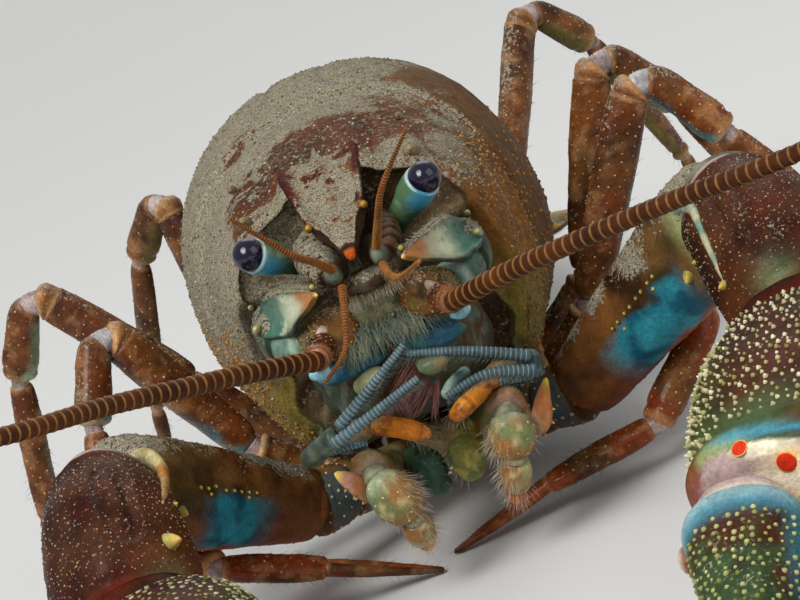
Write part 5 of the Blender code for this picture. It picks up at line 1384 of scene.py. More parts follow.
def build_antenna_scale(tag, s):
    seed = 2000 if tag == "l" else 2060
    piece = Piece()
    nearer = 0.0 if tag == "l" else 0.6
    rows = beads(s, *((x - nearer * float(bump(y - 6.5, 3.5)), y, z, w, h) for x, y, z, w, h in (
        (8.9, 10.6, 24.6, 0.9, 0.4), (8.5, 9.2, 25.1, 1.5, 0.42), (7.95, 7.9, 25.4, 1.8, 0.42),
        (7.2, 6.6, 25.6, 1.9, 0.42), (6.2, 4.8, 25.9, 1.65, 0.4), (5.1, 2.6, 26.5, 1.2, 0.36),
        (4.3, 0.6, 27.0, 0.78, 0.32), (3.85, -0.6, 27.35, 0.42, 0.28), (3.65, -1.15, 27.5, 0.25, 0.22))))
    p, normal, t = tube(rows, (0.45 * s, 0.45, -0.77), SCALE_SIDES, 2.0, 0.2, (0.5, 0.35))
    across = np.broadcast_to(np.cos(turns(SCALE_SIDES)), t.shape)
    curl = 0.4 * np.abs(across) ** 2 * ramp(1.0, 0.5, t) - 0.25 * bump(across + 0.1, 0.5) * ramp(1, 0.6, t)
    rolled = 0.25 * bump(across - 0.86, 0.16) + 0.2 * bump(across + 0.9, 0.12)
    p = push(p, np.array([0.88 * s, -0.37, 0.29]), curl + rolled)
    p = push(p, normal, 0.04 * fractal(p, 1.2, seed + 31))
    streaks = fractal(p * [1, 0.5, 1], 0.8, seed + 33)
    highlight_streaks = fractal(p * [1, 0.4, 1], 0.9, seed + 38)
    tint = layers(
        "8c9c80",
        ("3f6a5c", ramp(0.5, 0.25, t + 0.2 * noise(p, 1.4, seed + 32) + 0.05 * streaks)),
        # painted highlight: pale streaks along the blade
        ("b9c0a2", 0.7 * ramp(0.1, 0.4, highlight_streaks) * ramp(0.15, 0.3, t)),
        ("2f4a40", 0.7 * ramp(0.1, 0.5, streaks) * ramp(0.5, 0.2, t)),
        # painted highlight: a pale cream spot in the middle of the blade
        ("c4c3a4", 0.85 * bump(t - 0.52, 0.16) * bump(across + 0.1, 0.7)),
        (SCALE_ORANGE, ramp(0.55, 0.78, t - 0.1 * across + 0.06 * streaks)),
        ("5e5a34", 0.6 * ramp(0.3, 0.9, across) * ramp(0.25, 0.5, t)),
        ("2a3024", 0.9 * ramp(0.8, 0.95, np.abs(across)) * ramp(0.95, 0.7, t)))
    dust = 0.8 * ramp(-0.6, -0.95, across) * ramp(0.1, 0.3, t) + 0.25 * ramp(0.25, 0.5, fractal(p, 1.3, seed + 34))
    piece.grid(p, tint, np.clip(dust, 0, 1))
    roots = curve(list(zip(t[:, 0], p[:, SCALE_SIDES // 2])), np.linspace(0.1, 0.93, SCALE_FRINGE))
    rng = np.random.default_rng(seed + 35)
    ways = unit(np.array([-0.75 * s, -0.5, 0.45]) + rng.normal(0, 0.2, (SCALE_FRINGE, 3)))
    hairs(piece, roots, ways, rng.uniform(0.4, 0.9, SCALE_FRINGE), 0.03, "8d8a70", (0, 0, -0.12), 3, SETA_PALE)
    silt(piece, p, 0.3, seed + 36, (across < -0.85) * (t > 0.08) * (t < 0.9) + 1e-6, 0.06)
    tip = np.array([[3.72 * s, -0.8, 27.48]])
    studs(piece, tip, unit([[-0.25 * s, -1, 0.1]]), 0.28, 0.9, SCALE_ORANGE, "e0b860", 0.7, 12)
    ring, way = np.array([[3.7 * s, -0.1, 28.0]]), unit([[0, -1, 0.5]])
    studs(piece, ring, way, 0.32, 0.16, "4c4a30", sides=14)
    studs(piece, ring + [0, -0.12, 0.06], way, 0.2, 0.14, "b39a3c", sides=12)
    piece.build("antenna_scale_%s_blade" % tag, SCALE, "scale", "antenna_scale_" + tag)


def comb(piece, start, end, way, length, count, seed, tint, tip, width=0.04, spread=0.06, sag=(0, 0, -0.1)):
    """Row of hairs between two points."""
    rng = np.random.default_rng(seed)
    start, end = np.array(start, float), np.array(end, float)
    share = (np.arange(count) + rng.uniform(-0.3, 0.3, count)) / count
    roots = start + (end - start) * share[:, None] + rng.normal(0, spread, (count, 3))
    ways = unit(np.array(way, float) + rng.normal(0, spread * 2, (count, 3)))
    hairs(piece, roots, ways, length * rng.uniform(0.75, 1.1, count), width, tint, sag, 4, tip)


# inner plates: seed, tints, end lengths, sides, relief, direction across, stations
MOUTH_BLUES = ("2f5b70", "23586c", MOUTH_TEAL)
MOUTH_PLATES = (
    (2110, MOUTH_BLUES, 0.4, 40, (0.18, 0.04), (0, 1, 0.2), (0.0, 5.6, 20.9, 0.5, 0.6), (1.6, 4.7, 20.2, 1.0),
     (3.3, 4.8, 19.6, 1.05, 0.95), (4.7, 5.6, 19.2, 0.8, 0.7), (5.6, 6.4, 18.9, 0.4)),
    (2120, MOUTH_BLUES, 0.4, 40, (0.18, 0.04), (0, 1, 0.2), (-6.4, 6.6, 19.7, 0.4), (-5.2, 5.2, 19.9, 0.85, 0.8),
     (-3.6, 4.7, 20.1, 0.95, 0.85), (-2.0, 4.8, 19.9, 0.7), (-0.9, 5.6, 19.7, 0.4)),
    (2130, ("cdc79a", "a9ab7c"), 0.6, 32, (0.06, 0.01), AHEAD, (-4.1, 4.9, 18.1, 0.6), (-2.8, 4.1, 18.5, 0.95, 0.85),
     (-1.5, 4.9, 18.8, 0.5)),
    (2135, ("8f7a52", "6c7a58"), 0.5, 32, (0.08, 0.02), AHEAD, (3.5, 4.6, 17.9, 0.5), (2.2, 4.2, 17.6, 0.8, 0.75),
     (0.9, 4.7, 17.9, 0.5)),
)
# second legs of the mouth: seed, way that the lobe's hairs point or None for a stem, stations
MOUTH_LOBES = (
    (2140, None, (-7.0, 8.0, 13.6, 0.9), (-5.6, 5.0, 14.9, 1.0), (-4.3, 3.6, 15.3, 0.8)),
    (2150, (0.2, -0.2, -1), (-4.2, 3.3, 15.2, 0.6), (-2.9, 2.7, 14.9, 0.82, 0.8), (-1.2, 2.5, 13.8, 0.85, 0.82),
     (-0.1, 2.7, 12.9, 0.5)),
    (2160, None, (8.0, 8.0, 13.4, 0.9), (6.6, 5.0, 14.6, 1.0), (5.5, 3.7, 14.7, 0.8)),
    (2170, (-0.2, -0.2, -1), (5.6, 3.5, 14.6, 0.55), (4.4, 2.9, 14.3, 0.78, 0.75), (2.9, 2.6, 13.8, 0.8, 0.76),
     (1.8, 2.8, 13.4, 0.5)),
)
# rows of hairs: start, end, way, length, count, seed, colours at root and tip, width, spread, sag
MOUTH_COMBS = (
    ((0.6, 4.0, 18.8), (1.7, 4.0, 15.9), (-0.9, -0.35, -0.55), 2.3, 60, 2200, SETA_RED, SETA_ROSE),
    ((-0.4, 4.0, 18.0), (0.3, 4.0, 15.0), (-0.85, -0.3, -0.6), 2.0, 55, 2201, SETA_RED, SETA_ROSE),
    ((2.2, 4.2, 16.6), (1.0, 3.8, 14.8), (-0.4, -0.6, -0.8), 1.6, 50, 2202, SETA_RED, SETA_ROSE),
    ((-3.4, 3.9, 16.8), (-0.8, 3.9, 16.3), (0.2, -0.5, -0.9), 1.5, 60, 2203, SETA_RED, SETA_ROSE),
    *(((-3.9, 4.4 - 0.4 * k, 23.6 - 0.4 * k), (3.6, 4.4 - 0.4 * k, 23.4 - 0.4 * k), (0, -0.75, -0.8), 2.0, 170,
       2210 + k, SETA_DARK, "93a08c", 0.035, 0.22, (0, 0, -0.25)) for k in range(4)),
    ((-3.6, 3.6, 21.8), (-1.4, 3.0, 22.6), (-0.35, -0.7, -0.8), 1.9, 120, 2220, SETA_DARK, SETA_PALE, 0.03, 0.25),
    ((0.2, 3.4, 22.4), (2.4, 3.0, 22.2), (0.3, -0.7, -0.8), 1.7, 120, 2221, SETA_DARK, SETA_PALE, 0.03, 0.25),
)
MOUTH_RINGS, MOUTH_SIDES = 44, 96


def build_mouth():
    piece = Piece()
    end = ((0.97, 0.1), (0.88, 0.25), (0.7, 0.4), (0.45, 0.5), (0.15, 0.55))
    t = np.concatenate([np.linspace(0, 1, MOUTH_RINGS), np.ones(len(end))])
    half, tall, z = columns(curve(((0.0, (7.7, 5.7, 16.6)), (0.3, (6.9, 5.3, 16.9)), (0.7, (4.6, 3.9, 17.4)),
                                   (1.0, (2.6, 2.3, 17.8))), t))
    shrink, bulge = np.vstack([np.tile([1.0, 0.0], (MOUTH_RINGS, 1)), end]).T
    angle = turns(MOUTH_SIDES)
    p = np.stack([(half * shrink)[:, None] * power(np.cos(angle), 0.87), np.zeros((len(t), MOUTH_SIDES)),
                  z[:, None] + (tall * shrink)[:, None] * power(np.sin(angle), 0.87)], -1)
    back = front_plane(p[..., 2]) - 0.33
    p[..., 1] = back + (6.0 - back) * t[:, None] - bulge[:, None]
    fold = np.sin(angle * 9) * 0.18 * ramp(0.1, 0.5, t)[:, None]
    p = push(p, outward(p), 0.4 * fractal(p, 1.8, 2100) + 0.1 * fractal(p, 0.6, 2101) + fold)
    piece.grid(p, layers("4f5b44", ("5f4630", ramp(-0.4, 0.4, fractal(p, 2.4, 2102))),
                         (MOUTH_TEAL, 0.5 * ramp(0.2, 0.6, fractal(p, 1.6, 2103))),
                         ("2c2a22", ramp(16.5, 13, p[..., 2]) * 0.7)))
    for seed, tints, end, sides, relief, hint, *rows in MOUTH_PLATES:
        skin(piece, beads(1, *rows), hint, seed, tints, (end, end), sides, 2.0, relief)
    for seed, forward, *rows in MOUTH_LOBES:
        tints = ("bd6a18", "cf8a2c", "8c4818") if forward else ("7d6a44", MAX_GREEN, MAX_ORANGE)
        bands = (("5a2410", 0.52, 0.015, 0.8), ("5a2410", 0.8, 0.01, 0.5)) if forward else ()
        p, normal, t = skin(piece, beads(1, *rows), AHEAD, seed, tints, (0.5, 0.5), 36, 2.0, bands=bands)
        if forward:
            tuft(piece, p, seed + 5, ramp(0.55, 0.9, t), 0.3, 1.1, forward, 0.02, SETA_RED, SETA_PALE)
    stub = beads(1, (4.6, 4.6, 16.1, 0.4), (3.0, 3.6, 15.6, 0.6), (2.0, 3.1, 15.0, 0.55))
    skin(piece, stub, AHEAD, 2190, ("8fa79a", EXOPOD_GREY), (0.4, 0.4), 24, 2.0)
    for row in MOUTH_COMBS:
        comb(piece, *row)
    epistome = beads(1, (-4.4, 8.6, 22.6, 0.9), (-2.0, 5.6, 23.2, 1.3), (0.0, 4.6, 23.4, 1.5, 1.4),
                     (2.0, 5.6, 23.0, 1.3), (4.4, 8.6, 22.4, 0.9))
    p, normal, t = skin(piece, epistome, AHEAD, 2230, ("6e6a4c", "5a5a44", "86805c"), (0.6, 0.6), 40, 2.2,
                        (0.2, 0.05), dust=0.7)
    silt(piece, p, 0.5, 2235, (normal[..., 2] > 0) * 0.6 + (normal[..., 1] < -0.3) * 0.5 + 1e-6)
    saddle = beads(1, (-2.6, 6.0, 26.0, 0.8), (-1.0, 3.4, 26.1, 0.9, 0.8), (0.4, 2.7, 26.2, 0.95, 0.8),
                   (1.9, 3.4, 26.2, 0.9, 0.8), (3.4, 6.0, 26.1, 0.8))
    skin(piece, saddle, AHEAD, 2240, ("4a3220", "38261a", "5c5240"), (0.5, 0.5), 32, 2.0, (0.12, 0.04), dust=0.6)
    for k in range(3):
        y, z = 3.3 - 0.4 * k, 25.9 - 0.2 * k
        comb(piece, (-1.5, y, z), (2.6, y, z), (0.0, -0.55, -1.0), 1.25, 70, 2250 + k, "7c6848", SETA_PALE, 0.035, 0.1)
    piece.build("mouth_parts", MOUTHPART, "mouthpart", "mouth")


# outer mouth legs: joints of each, and the thin feelers that ride on them
MX_MID = (5.6, 9.5, 9.8)
MX_ROOT = (3.4, 17.5, 8.2)
MX_KNEE = {"l": (6.4, 2.6, 13.4), "r": (-5.8, 2.6, 13.0)}
MX_BEND = {"l": (5.2, 2.8, 8.4), "r": (-4.1, 3.0, 7.2)}
MX_TIP = {"l": (3.8, 5.0, 4.4), "r": (-4.0, 5.2, 3.8)}
MX_SPIKE = {"l": ((6.9, 4.2, 9.2), (8.2, 3.6, 10.2), (9.9, 2.6, 13.4)),
            "r": ((-6.2, 3.8, 9.6), (-6.9, 3.2, 11.2), (-8.2, 2.3, 13.3))}
EXOPODS = {
    "l": (((9.4, 0.8, 16.0), (5.0, 0.4, 18.5), (0.8, 0.2, 20.2)),
          ((9.4, 0.6, 14.8), (5.8, -0.2, 16.3), (2.2, -0.4, 16.0)),
          ((9.9, 3.4, 13.9), (8.0, 2.4, 14.3), (6.4, 2.0, 14.7))),
    "r": (((-6.3, 0.8, 16.9), (-2.6, 0.2, 19.0), (0.9, 0.0, 21.0)),
          ((-7.3, 0.6, 15.8), (-3.1, -0.2, 17.1), (0.9, -0.6, 18.3)),
          ((-8.4, 3.0, 14.9), (-6.6, 2.2, 14.9), (-4.9, 1.8, 14.6))),
}


def build_maxilliped(tag, s):
    seed = 2300 if tag == "l" else 2380
    flip = np.array([s, 1, 1])
    mid, root = np.array(MX_MID) * flip, np.array(MX_ROOT) * flip
    knee, bend, tip = (np.array(d[tag]) for d in (MX_KNEE, MX_BEND, MX_TIP))
    ahead, down, way = unit(knee - mid), unit(bend - knee), unit(tip - bend)
    sever = knee - ahead * 3.0

    piece = Piece()
    rows = [(root, 1.6, 1.5), (root * 0.5 + mid * 0.5, 2.05, 1.75), (mid, 2.1, 1.85),
            (sever - ahead * 0.1, 1.55, 1.6)]
    skin(piece, rows, ACROSS, seed, ("5f6a44", MAX_ORANGE, "8c8a5a"), (0.6, 0.3))
    lobe = beads(s, (3.6, 15.0, 8.6, 1.2), (2.2, 11.0, 8.6, 1.45, 1.9), (1.5, 8.4, 8.4, 1.35, 2.0),
                 (1.4, 7.2, 8.2, 0.9, 1.5))
    tints = ("7c7a3c", "59683e", "a39448") if s > 0 else ("2f4a38", "47583a", "1f2f26")
    p, normal, t = skin(piece, lobe, ACROSS, seed + 8, tints, (0.6, 0.7), 40, 2.2, (0.12, 0.03))
    inward = ramp(0.3, 0.8, -normal[..., 0] * s)
    tuft(piece, p, seed + 14, inward * ramp(0.4, 0.7, t), 0.4, 1.0, (0, -1, -0.3), 0.025, SETA_PALE)
    edge = p[(t[:, 0] > 0.45) & (t[:, 0] < 0.97)][::3]
    pick = edge[np.arange(len(edge)), np.argmin(edge[..., 0] * s, axis=1)]
    studs(piece, pick, unit(np.tile([-s, -0.3, 0], (len(pick), 1))), 0.16, 0.3, "9a8a50", CREAM, 0.6, 7)
    piece.build("maxilliped_%s_upper_shell" % tag, MOUTHPART, "mouthpart", "maxilliped_%s_upper" % tag)

    piece = Piece()
    bow = corner(mid, knee, bend, 3.0)
    cap = [(sever - ahead * 0.2, 1.4, 1.4), (bow[1], 1.55, 1.5), (bow[2], 1.6, 1.5), (bow[3], 1.15, 1.1)]
    skin(piece, cap, ACROSS, seed + 20, ("9c6a3c", "8a8658", "b58f6a"), (0.2, 0.7), 36, 2.2, (0.12, 0.03),
         bands=((MEMBRANE, 0.9, 0.08, 0.6),))
    soft_ring(piece, bow[3] * 0.6 + bow[4] * 0.4, bow[4] - bow[2], 1.0, "a3a283", 0.7, ACROSS)
    carpus = [(bow[3] * 0.3 + bow[4] * 0.7, 1.15, 1.1), (bow[5], 1.65, 1.55),
              (knee + (bend - knee) * 0.72, 1.85, 1.7), (bend - down * 0.1, 1.25, 1.2)]
    p, normal, t = skin(piece, carpus, ACROSS, seed + 26, (MAX_GREEN, MAX_ORANGE, MAX_CREAM), (0.5, 0.5), 44, 2.2,
                        (0.12, 0.04), ((MAX_ORANGE, 0.9, 0.2, 0.7), ("93ab8c", 0.08, 0.12, 0.7)), 0.15,
                        (0.75, (0.1, 0.07), "8a6a38", "dcc890"))
    inward, outer = ramp(0.1, 0.6, -normal[..., 0] * s), ramp(0.3, 0.7, normal[..., 0] * s)
    tuft(piece, p, seed + 33, inward * ramp(0.1, 0.4, t), 0.28, 1.25, (-0.3 * s, -0.1, -1.0), 0.022, *MAX_SETAE)
    tuft(piece, p, seed + 34, outer * ramp(0.3, 0.8, t), 0.5, 0.8, (0, 0, -1.0), 0.02, *MAX_SETAE)
    soft_ring(piece, bend, way + down, 0.88, "a39f7c", 0.5, ACROSS)
    hand = [(bend + way * 0.1, 1.0, 0.95), (bend + (tip - bend) * 0.35, 1.28, 1.2),
            (bend + (tip - bend) * 0.72, 1.0, 0.9)]
    p, normal, t = skin(piece, hand, ACROSS, seed + 40, ("9fa97a", "8c6236", MAX_CREAM), (0.4, 0.4), 40, 2.2,
                        (0.08, 0.02))
    inward = ramp(0.0, 0.5, -normal[..., 0] * s) + 0.3 * ramp(0.5, 0.9, t)
    tuft(piece, p, seed + 46, inward, 0.26, 1.3, (-0.3 * s, -0.2, -1.0), 0.022, *MAX_SETAE)
    finger = [(bend + (tip - bend) * 0.7, 0.72, 0.68), (bend + (tip - bend) * 0.88, 0.66, 0.6), (tip, 0.28, 0.26)]
    p, normal, t = skin(piece, finger, ACROSS, seed + 50, ("b3622c", "c98a4e"), (0.3, 0.25), 28)
    tuft(piece, p, seed + 56, ramp(0.2, 0.6, t), 0.22, 1.1, (-0.2 * s, -0.2, -1.0), 0.022, *MAX_SETAE)
    a, b, c = (np.array(q) for q in MX_SPIKE[tag])
    spike = [(a, 0.5, 0.35), (b, 0.95, 0.4), (b * 0.35 + c * 0.65, 0.6, 0.34), (c, 0.16, 0.14)]
    p, normal, t = skin(piece, spike, (0.6 * s, -0.6, -0.5), seed + 60, ("c08a78", "a8683c"), (0.3, 0.2), 32, 2.0,
                        (0.06, 0.01), (("e3c34e", 0.97, 0.09, 0.9), ("7a8a68", 0.1, 0.25, 0.5)))
    link = [(a * 0.5 + b * 0.5, 0.55, 0.5), (a * 0.3 + bow[4] * 0.7, 0.9, 0.7)]
    skin(piece, link, AHEAD, seed + 66, ("8f8f60", "a8663a"), (0.2, 0.2), 24)
    rings = [8, 12, 16]
    studs(piece, p[rings, 0], unit(normal[rings, 0]), 0.16, 0.32, "6a3a24", "d9a04e", 0.6, 8)
    piece.build("maxilliped_%s_lower_shell" % tag, MOUTHPART, "mouthpart", "maxilliped_%s_lower" % tag)

    piece = Piece()
    fork = (np.array(EXOPODS[tag][0][0]) + np.array(EXOPODS[tag][1][0])) / 2
    stem = beads(s, (9.2, 13.0, 12.6, 0.7, 0.75), (9.4, 8.0, 13.8, 0.8, 0.85), (9.4, 3.6, 14.9, 0.8, 0.85))
    skin(piece, stem + [(fork, 0.62, 0.95)], ACROSS, seed + 70, ("5c6a5c", "44432f", EXOPOD_GREY), (0.4, 0.4), 28)
    # painted light: the right-hand exopods take these colours made lighter and the left-hand ones made darker, lit and
    # shaded copies of one material
    tints = [hexa(c) * (0.85 if s > 0 else 1.25) for c in (EXOPOD_GREY, "546a70", EXOPOD_PALE)]
    rng = np.random.default_rng(seed + 75)
    for path, start in zip(EXOPODS[tag], (0.5, 0.5, 0.42)):
        feeler = ringed(piece, path, start, 0.26, 0.42, 20, tints, 0.12, 8)
        pick = np.repeat(np.arange(4, len(feeler[0]) - 2, 4), 3)
        side = rng.choice([3, 5, 7], len(pick))
        ring_hairs(piece, feeler, pick, side, rng, 1.0, 0.7, 0.02, EXOPOD_GREY, EXOPOD_PALE)
    piece.build("exopod_%s_rings" % tag, MOUTHPART, "mouthpart", "exopod_" + tag)


build_mouth()
for head_tag, head_side in SIDES.items():
    build_antenna_base(head_tag, head_side)
    build_antenna_scale(head_tag, head_side)
    build_maxilliped(head_tag, head_side)


# breast plate, abdomen and tail fan
ABDOMEN_REAR = 110.0
TERGITES = 6
BACK_LINE = ((62, 32.6), (70, 31.0), (78, 28.0), (86, 24.2), (94, 19.8), (102, 15.0), (110, 10.6))
BELLY_LINE = ((62, 13.0), (70, 12.5), (78, 11.0), (86, 9.0), (94, 6.6), (102, 4.4), (110, 2.4))
ABDOMEN_HALF = ((62, 12.0), (70, 13.0), (78, 13.2), (86, 12.9), (94, 12.3), (102, 11.3), (110, 10.0))
PLEURA_DROP = 3.4
RING_POINTS = 144
# along a ring: share of its drop at the sides, and how far it is drawn in
TERGITE_SHAPE = ((0.0, (0.15, 0.55)), (0.18, (0.7, 0.14)), (0.55, (1.0, 0.0)), (0.85, (0.75, -0.05)),
                 (1.0, (0.35, 0.0)), (1.06, (0.2, 0.25)))
TELSON_LENGTH = 14.0
TELSON_HALF = ((0, 5.2), (0.3, 5.7), (0.7, 5.5), (1, 5.0))
UROPOD_HALF = ((0, 1.6), (0.2, 2.8), (0.55, 4.2), (0.85, 4.9), (1, 4.6))
PADDLE_UPPER, PADDLE_UNDER, PADDLE_FRINGE = 61, 25, 420
TAIL_OLIVE, TAIL_BUMP = "5d5430", "7d4d30"


def tergite_ring(y, drop, inset):
    """Closed section of an abdomen ring, through the same corners as the solid's."""
    top, belly, half = curve(BACK_LINE, y) - inset, curve(BELLY_LINE, y), curve(ABDOMEN_HALF, y) - inset
    side_z = belly + (top - belly) * 0.35
    a = np.linspace(0, math.pi, 9)
    arch = np.stack([half * power(np.cos(a), 0.9), side_z + (top - side_z) * np.sin(a)], -1)
    low = max(belly - drop, 1.0)
    ring = np.vstack([arch, [[-half * 0.93, low], [-half * 0.6, belly], [half * 0.6, belly], [half * 0.93, low]]])
    knots = np.arange(-2, len(ring) + 3)
    return curve(list(zip(knots, ring[knots % len(ring)])), np.linspace(0, len(ring), RING_POINTS + 1)[:-1])


def build_abdomen():
    step = (ABDOMEN_REAR - CARAPACE_REAR) / TERGITES
    for i in range(TERGITES):
        y0 = CARAPACE_REAR + 0.3 + i * step
        drop = PLEURA_DROP * (0.35 if i == 0 else 1.0 if i < TERGITES - 1 else 0.5)
        t = np.linspace(0, 1.06 if i < TERGITES - 1 else 1.0, 34)
        share, inset = columns(curve(TERGITE_SHAPE, t))
        flat = np.stack([tergite_ring(y0 + u * (step - 0.3), drop * a, b) for u, a, b in zip(t, share, inset)])
        u = np.repeat(t[:, None], RING_POINTS, 1)
        p = np.stack([flat[..., 0], y0 + u * (step - 0.3), flat[..., 1]], -1)
        normal = outward(p)
        rise = normal[..., 2]
        back = ramp(0.1, 0.5, rise)
        relief = 0.12 * fractal(p, 2.6, 2500 + i) + 0.04 * fractal(p, 0.8, 2510 + i)
        relief += (0.14 * bump(u - 0.92, 0.05) - 0.3 * bump(u - 0.26, 0.035)) * back
        p = push(p, normal, relief)
        tint = layers(
            SHELL_BROWN,
            (TAIL_OLIVE, ramp(-0.4, 0.4, fractal(p, 3.5, 2520 + i))),
            (SHELL_RED, 0.6 * ramp(0.0, 0.6, fractal(p, 2.0, 2530 + i)) + 0.35 * bump(u - 0.95, 0.08)),
            (SHELL_DARK, 0.7 * bump(u - 0.24, 0.05) * back),
            ("a08a58", ramp(-0.2, -0.7, rise) * 0.8))
        dust = np.clip(0.55 * ramp(0.1, 0.9, rise) + 0.4 * fractal(p, 4.0, 2540) - 0.2 * (u > 0.9), 0, 1)
        piece = Piece()
        piece.grid(p, tint, dust)
        keep = (rise > -0.1) * (u > 0.32) * (u < 0.95)
        granules(piece, p, 0.95, 2550 + i, keep, (0.12, 0.07), TAIL_BUMP, GRANULE_PALE, 0.2, 6, 0.2)
        silt(piece, p, 0.8, 2560 + i, (dust > 0.35) * (rise > 0.2) + 1e-6)
        if 1 <= i <= 4:
            swimmeret(piece, y0 + step * 0.5, i)
        below = ramp(-0.2, -0.8, rise) * (np.abs(p[..., 0]) > 9)
        tuft(piece, p, 2570 + i, below, 0.5, 1.0, (0, 0.3, -1), 0.025, "8a7a52")
        piece.build("abdomen_%d_tergite" % (i + 1), SHELL, "shell", "abdomen_%d" % (i + 1))


def swimmeret(piece, y, i):
    """Pair of small two-branched paddles with fringes under the tail."""
    belly = curve(BELLY_LINE, y)
    for s in SIDES.values():
        root = np.array([5.6 * s, y, belly + 0.4])
        elbow = root + [0.5 * s, 0.8, -min(2.2, belly * 0.3)]
        skin(piece, [(root, 0.9, 0.8), (elbow, 0.7, 0.6)], AHEAD, 2600 + i, ("a58c5c", "8a6a48"), (0.2, 0.3), 20)
        for k in (1, -1):
            end = elbow + [1.0 * s * k, 2.6, -min(2.6, belly * 0.3)]
            blade = [(elbow, 0.4, 0.35), (elbow * 0.5 + end * 0.5, 0.8, 0.3), (end, 0.3, 0.2)]
            p, _, t = skin(piece, blade, (1, 0, 0.3), 2610 + i, ("b39a68", "94724c"), (0.2, 0.3), 20)
            tuft(piece, p, 2620 + i, ramp(0.3, 0.7, t), 0.3, 1.0, (0, 0.5, -1), 0.02, "9a8a60")


def paddle(piece, root, direction, length, widths, thick, seed, suture):
    """Tail-fan blade that lies on the floor, with a middle rib, a suture, spines and a fringe."""
    d = unit((direction[0], direction[1], 0))
    n = np.array([-d[1], d[0], 0])
    t = (1 - (1 - np.linspace(0, 0.996, 60)) ** 1.6)[:, None]
    u = np.concatenate([np.linspace(-1, 1, PADDLE_UPPER), np.linspace(1, -1, PADDLE_UNDER)[1:-1]])
    upper = np.arange(len(u)) < PADDLE_UPPER

    def half(share):
        return curve(widths, share) * np.sqrt(np.maximum(1 - share ** 6, 0))

    base = np.array([root[0], root[1], 0.0])
    p = base + d * (length * t)[..., None] + n * (half(t) * u)[..., None]
    dome = power(np.clip(1 - np.abs(u) ** 2.6, 0, 1), 0.6)
    seam = t - suture + 0.05 * u ** 2
    height = thick * ramp(1.04, 0.75, t) * dome * (0.75 + 0.25 * ramp(0.0, 0.15, t))
    height = height + 0.35 * bump(u, 0.1) * ramp(0.95, 0.6, t) + 0.2 * bump(np.abs(u) - 0.82, 0.07)
    height = height - 0.32 * bump(seam, 0.018)
    relief = 0.12 * fractal(p, 2.2, seed) + 0.03 * fractal(p, 0.6, seed + 1)
    p[..., 2] = np.where(upper, np.maximum(height + relief * dome, 0.12), 0)
    tint = layers(
        SHELL_BROWN,
        (TAIL_OLIVE, ramp(-0.4, 0.4, fractal(p, 2.6, seed + 2))),
        (SHELL_RED, 0.7 * ramp(0.0, 0.5, fractal(p, 1.5, seed + 3))),
        ("8f7a4a", 0.6 * ramp(suture, 1.0, t)),
        (SHELL_DARK, 0.8 * bump(seam, 0.02)))
    piece.grid(p, tint, np.clip(0.4 + 0.5 * fractal(p, 3.0, seed + 4), 0, 1) * upper)
    keep = (dome > 0.4) * upper * (t < suture) * (t > 0.05) + 1e-9
    granules(piece, p, 0.75, seed + 5, keep, (0.11, 0.07), TAIL_BUMP, GRANULE_PALE, 0.3, 6, 0.2)
    ends = np.array([base + d * length * (suture - 0.05) + n * s * curve(widths, suture) * 0.93 for s in (1, -1)])
    ends[:, 2] = 0.5
    studs(piece, ends, unit(d + np.array([n, -n]) * 0.45), 0.4, 1.3, SHELL_BROWN, THORN_YELLOW, 0.7, 10)

    # fringe: hairs round the end, and six in ten of them across its middle
    count = PADDLE_FRINGE
    rng = np.random.default_rng(seed + 6)
    where = np.clip(rng.uniform(0.72, 1.0, count) ** 0.6, 0, 0.996)
    edge = half(where) * rng.choice([-1, 1], count)
    tail = rng.random(count) < 0.6
    where = np.where(tail, 0.97, where)
    edge = np.where(tail, rng.uniform(-1, 1, count) * curve(widths, 0.97) * 0.42, edge)
    roots = base + d * (length * where)[:, None] + n * edge[:, None]
    roots[:, 2] = 0.3
    ways = unit(d + n * (edge / curve(widths, 1.0) * 0.75)[:, None] + rng.normal(0, 0.06, (count, 3)) * [1, 1, 0.5])
    hairs(piece, roots, ways, rng.uniform(1.4, 2.3, count), 0.04, "7d6038", (0, 0, -0.03), 3, "c2a878")


def build_tail():
    y0 = ABDOMEN_REAR + 0.3
    piece = Piece()
    paddle(piece, (0, y0), (0, 1), TELSON_LENGTH - 0.3, TELSON_HALF, 1.7, 2700, 0.62)
    piece.build("telson_plate", SHELL, "shell", "telson")
    for tag, s in SIDES.items():
        piece = Piece()
        paddle(piece, (8.0 * s, y0 + 0.4), (0.34 * s, 1), 15.4, UROPOD_HALF, 1.2, 2720, 0.95)
        paddle(piece, (8.6 * s, y0 + 0.1), (1.05 * s, 1), 15.8, UROPOD_HALF, 1.5, 2740, 0.66)
        stalk = beads(s, (6.4, y0 - 0.2, 2.0, 1.1, 1.2), (8.3, y0 + 1.2, 1.6, 1.6, 1.2),
                      (9.0, y0 + 2.6, 1.2, 1.1, 0.8))
        skin(piece, stalk, UPWARD, 2760, (SHELL_BROWN, SHELL_RED), (0.4, 0.5))
        piece.build("uropod_%s_blades" % tag, SHELL, "shell", "uropod_" + tag)


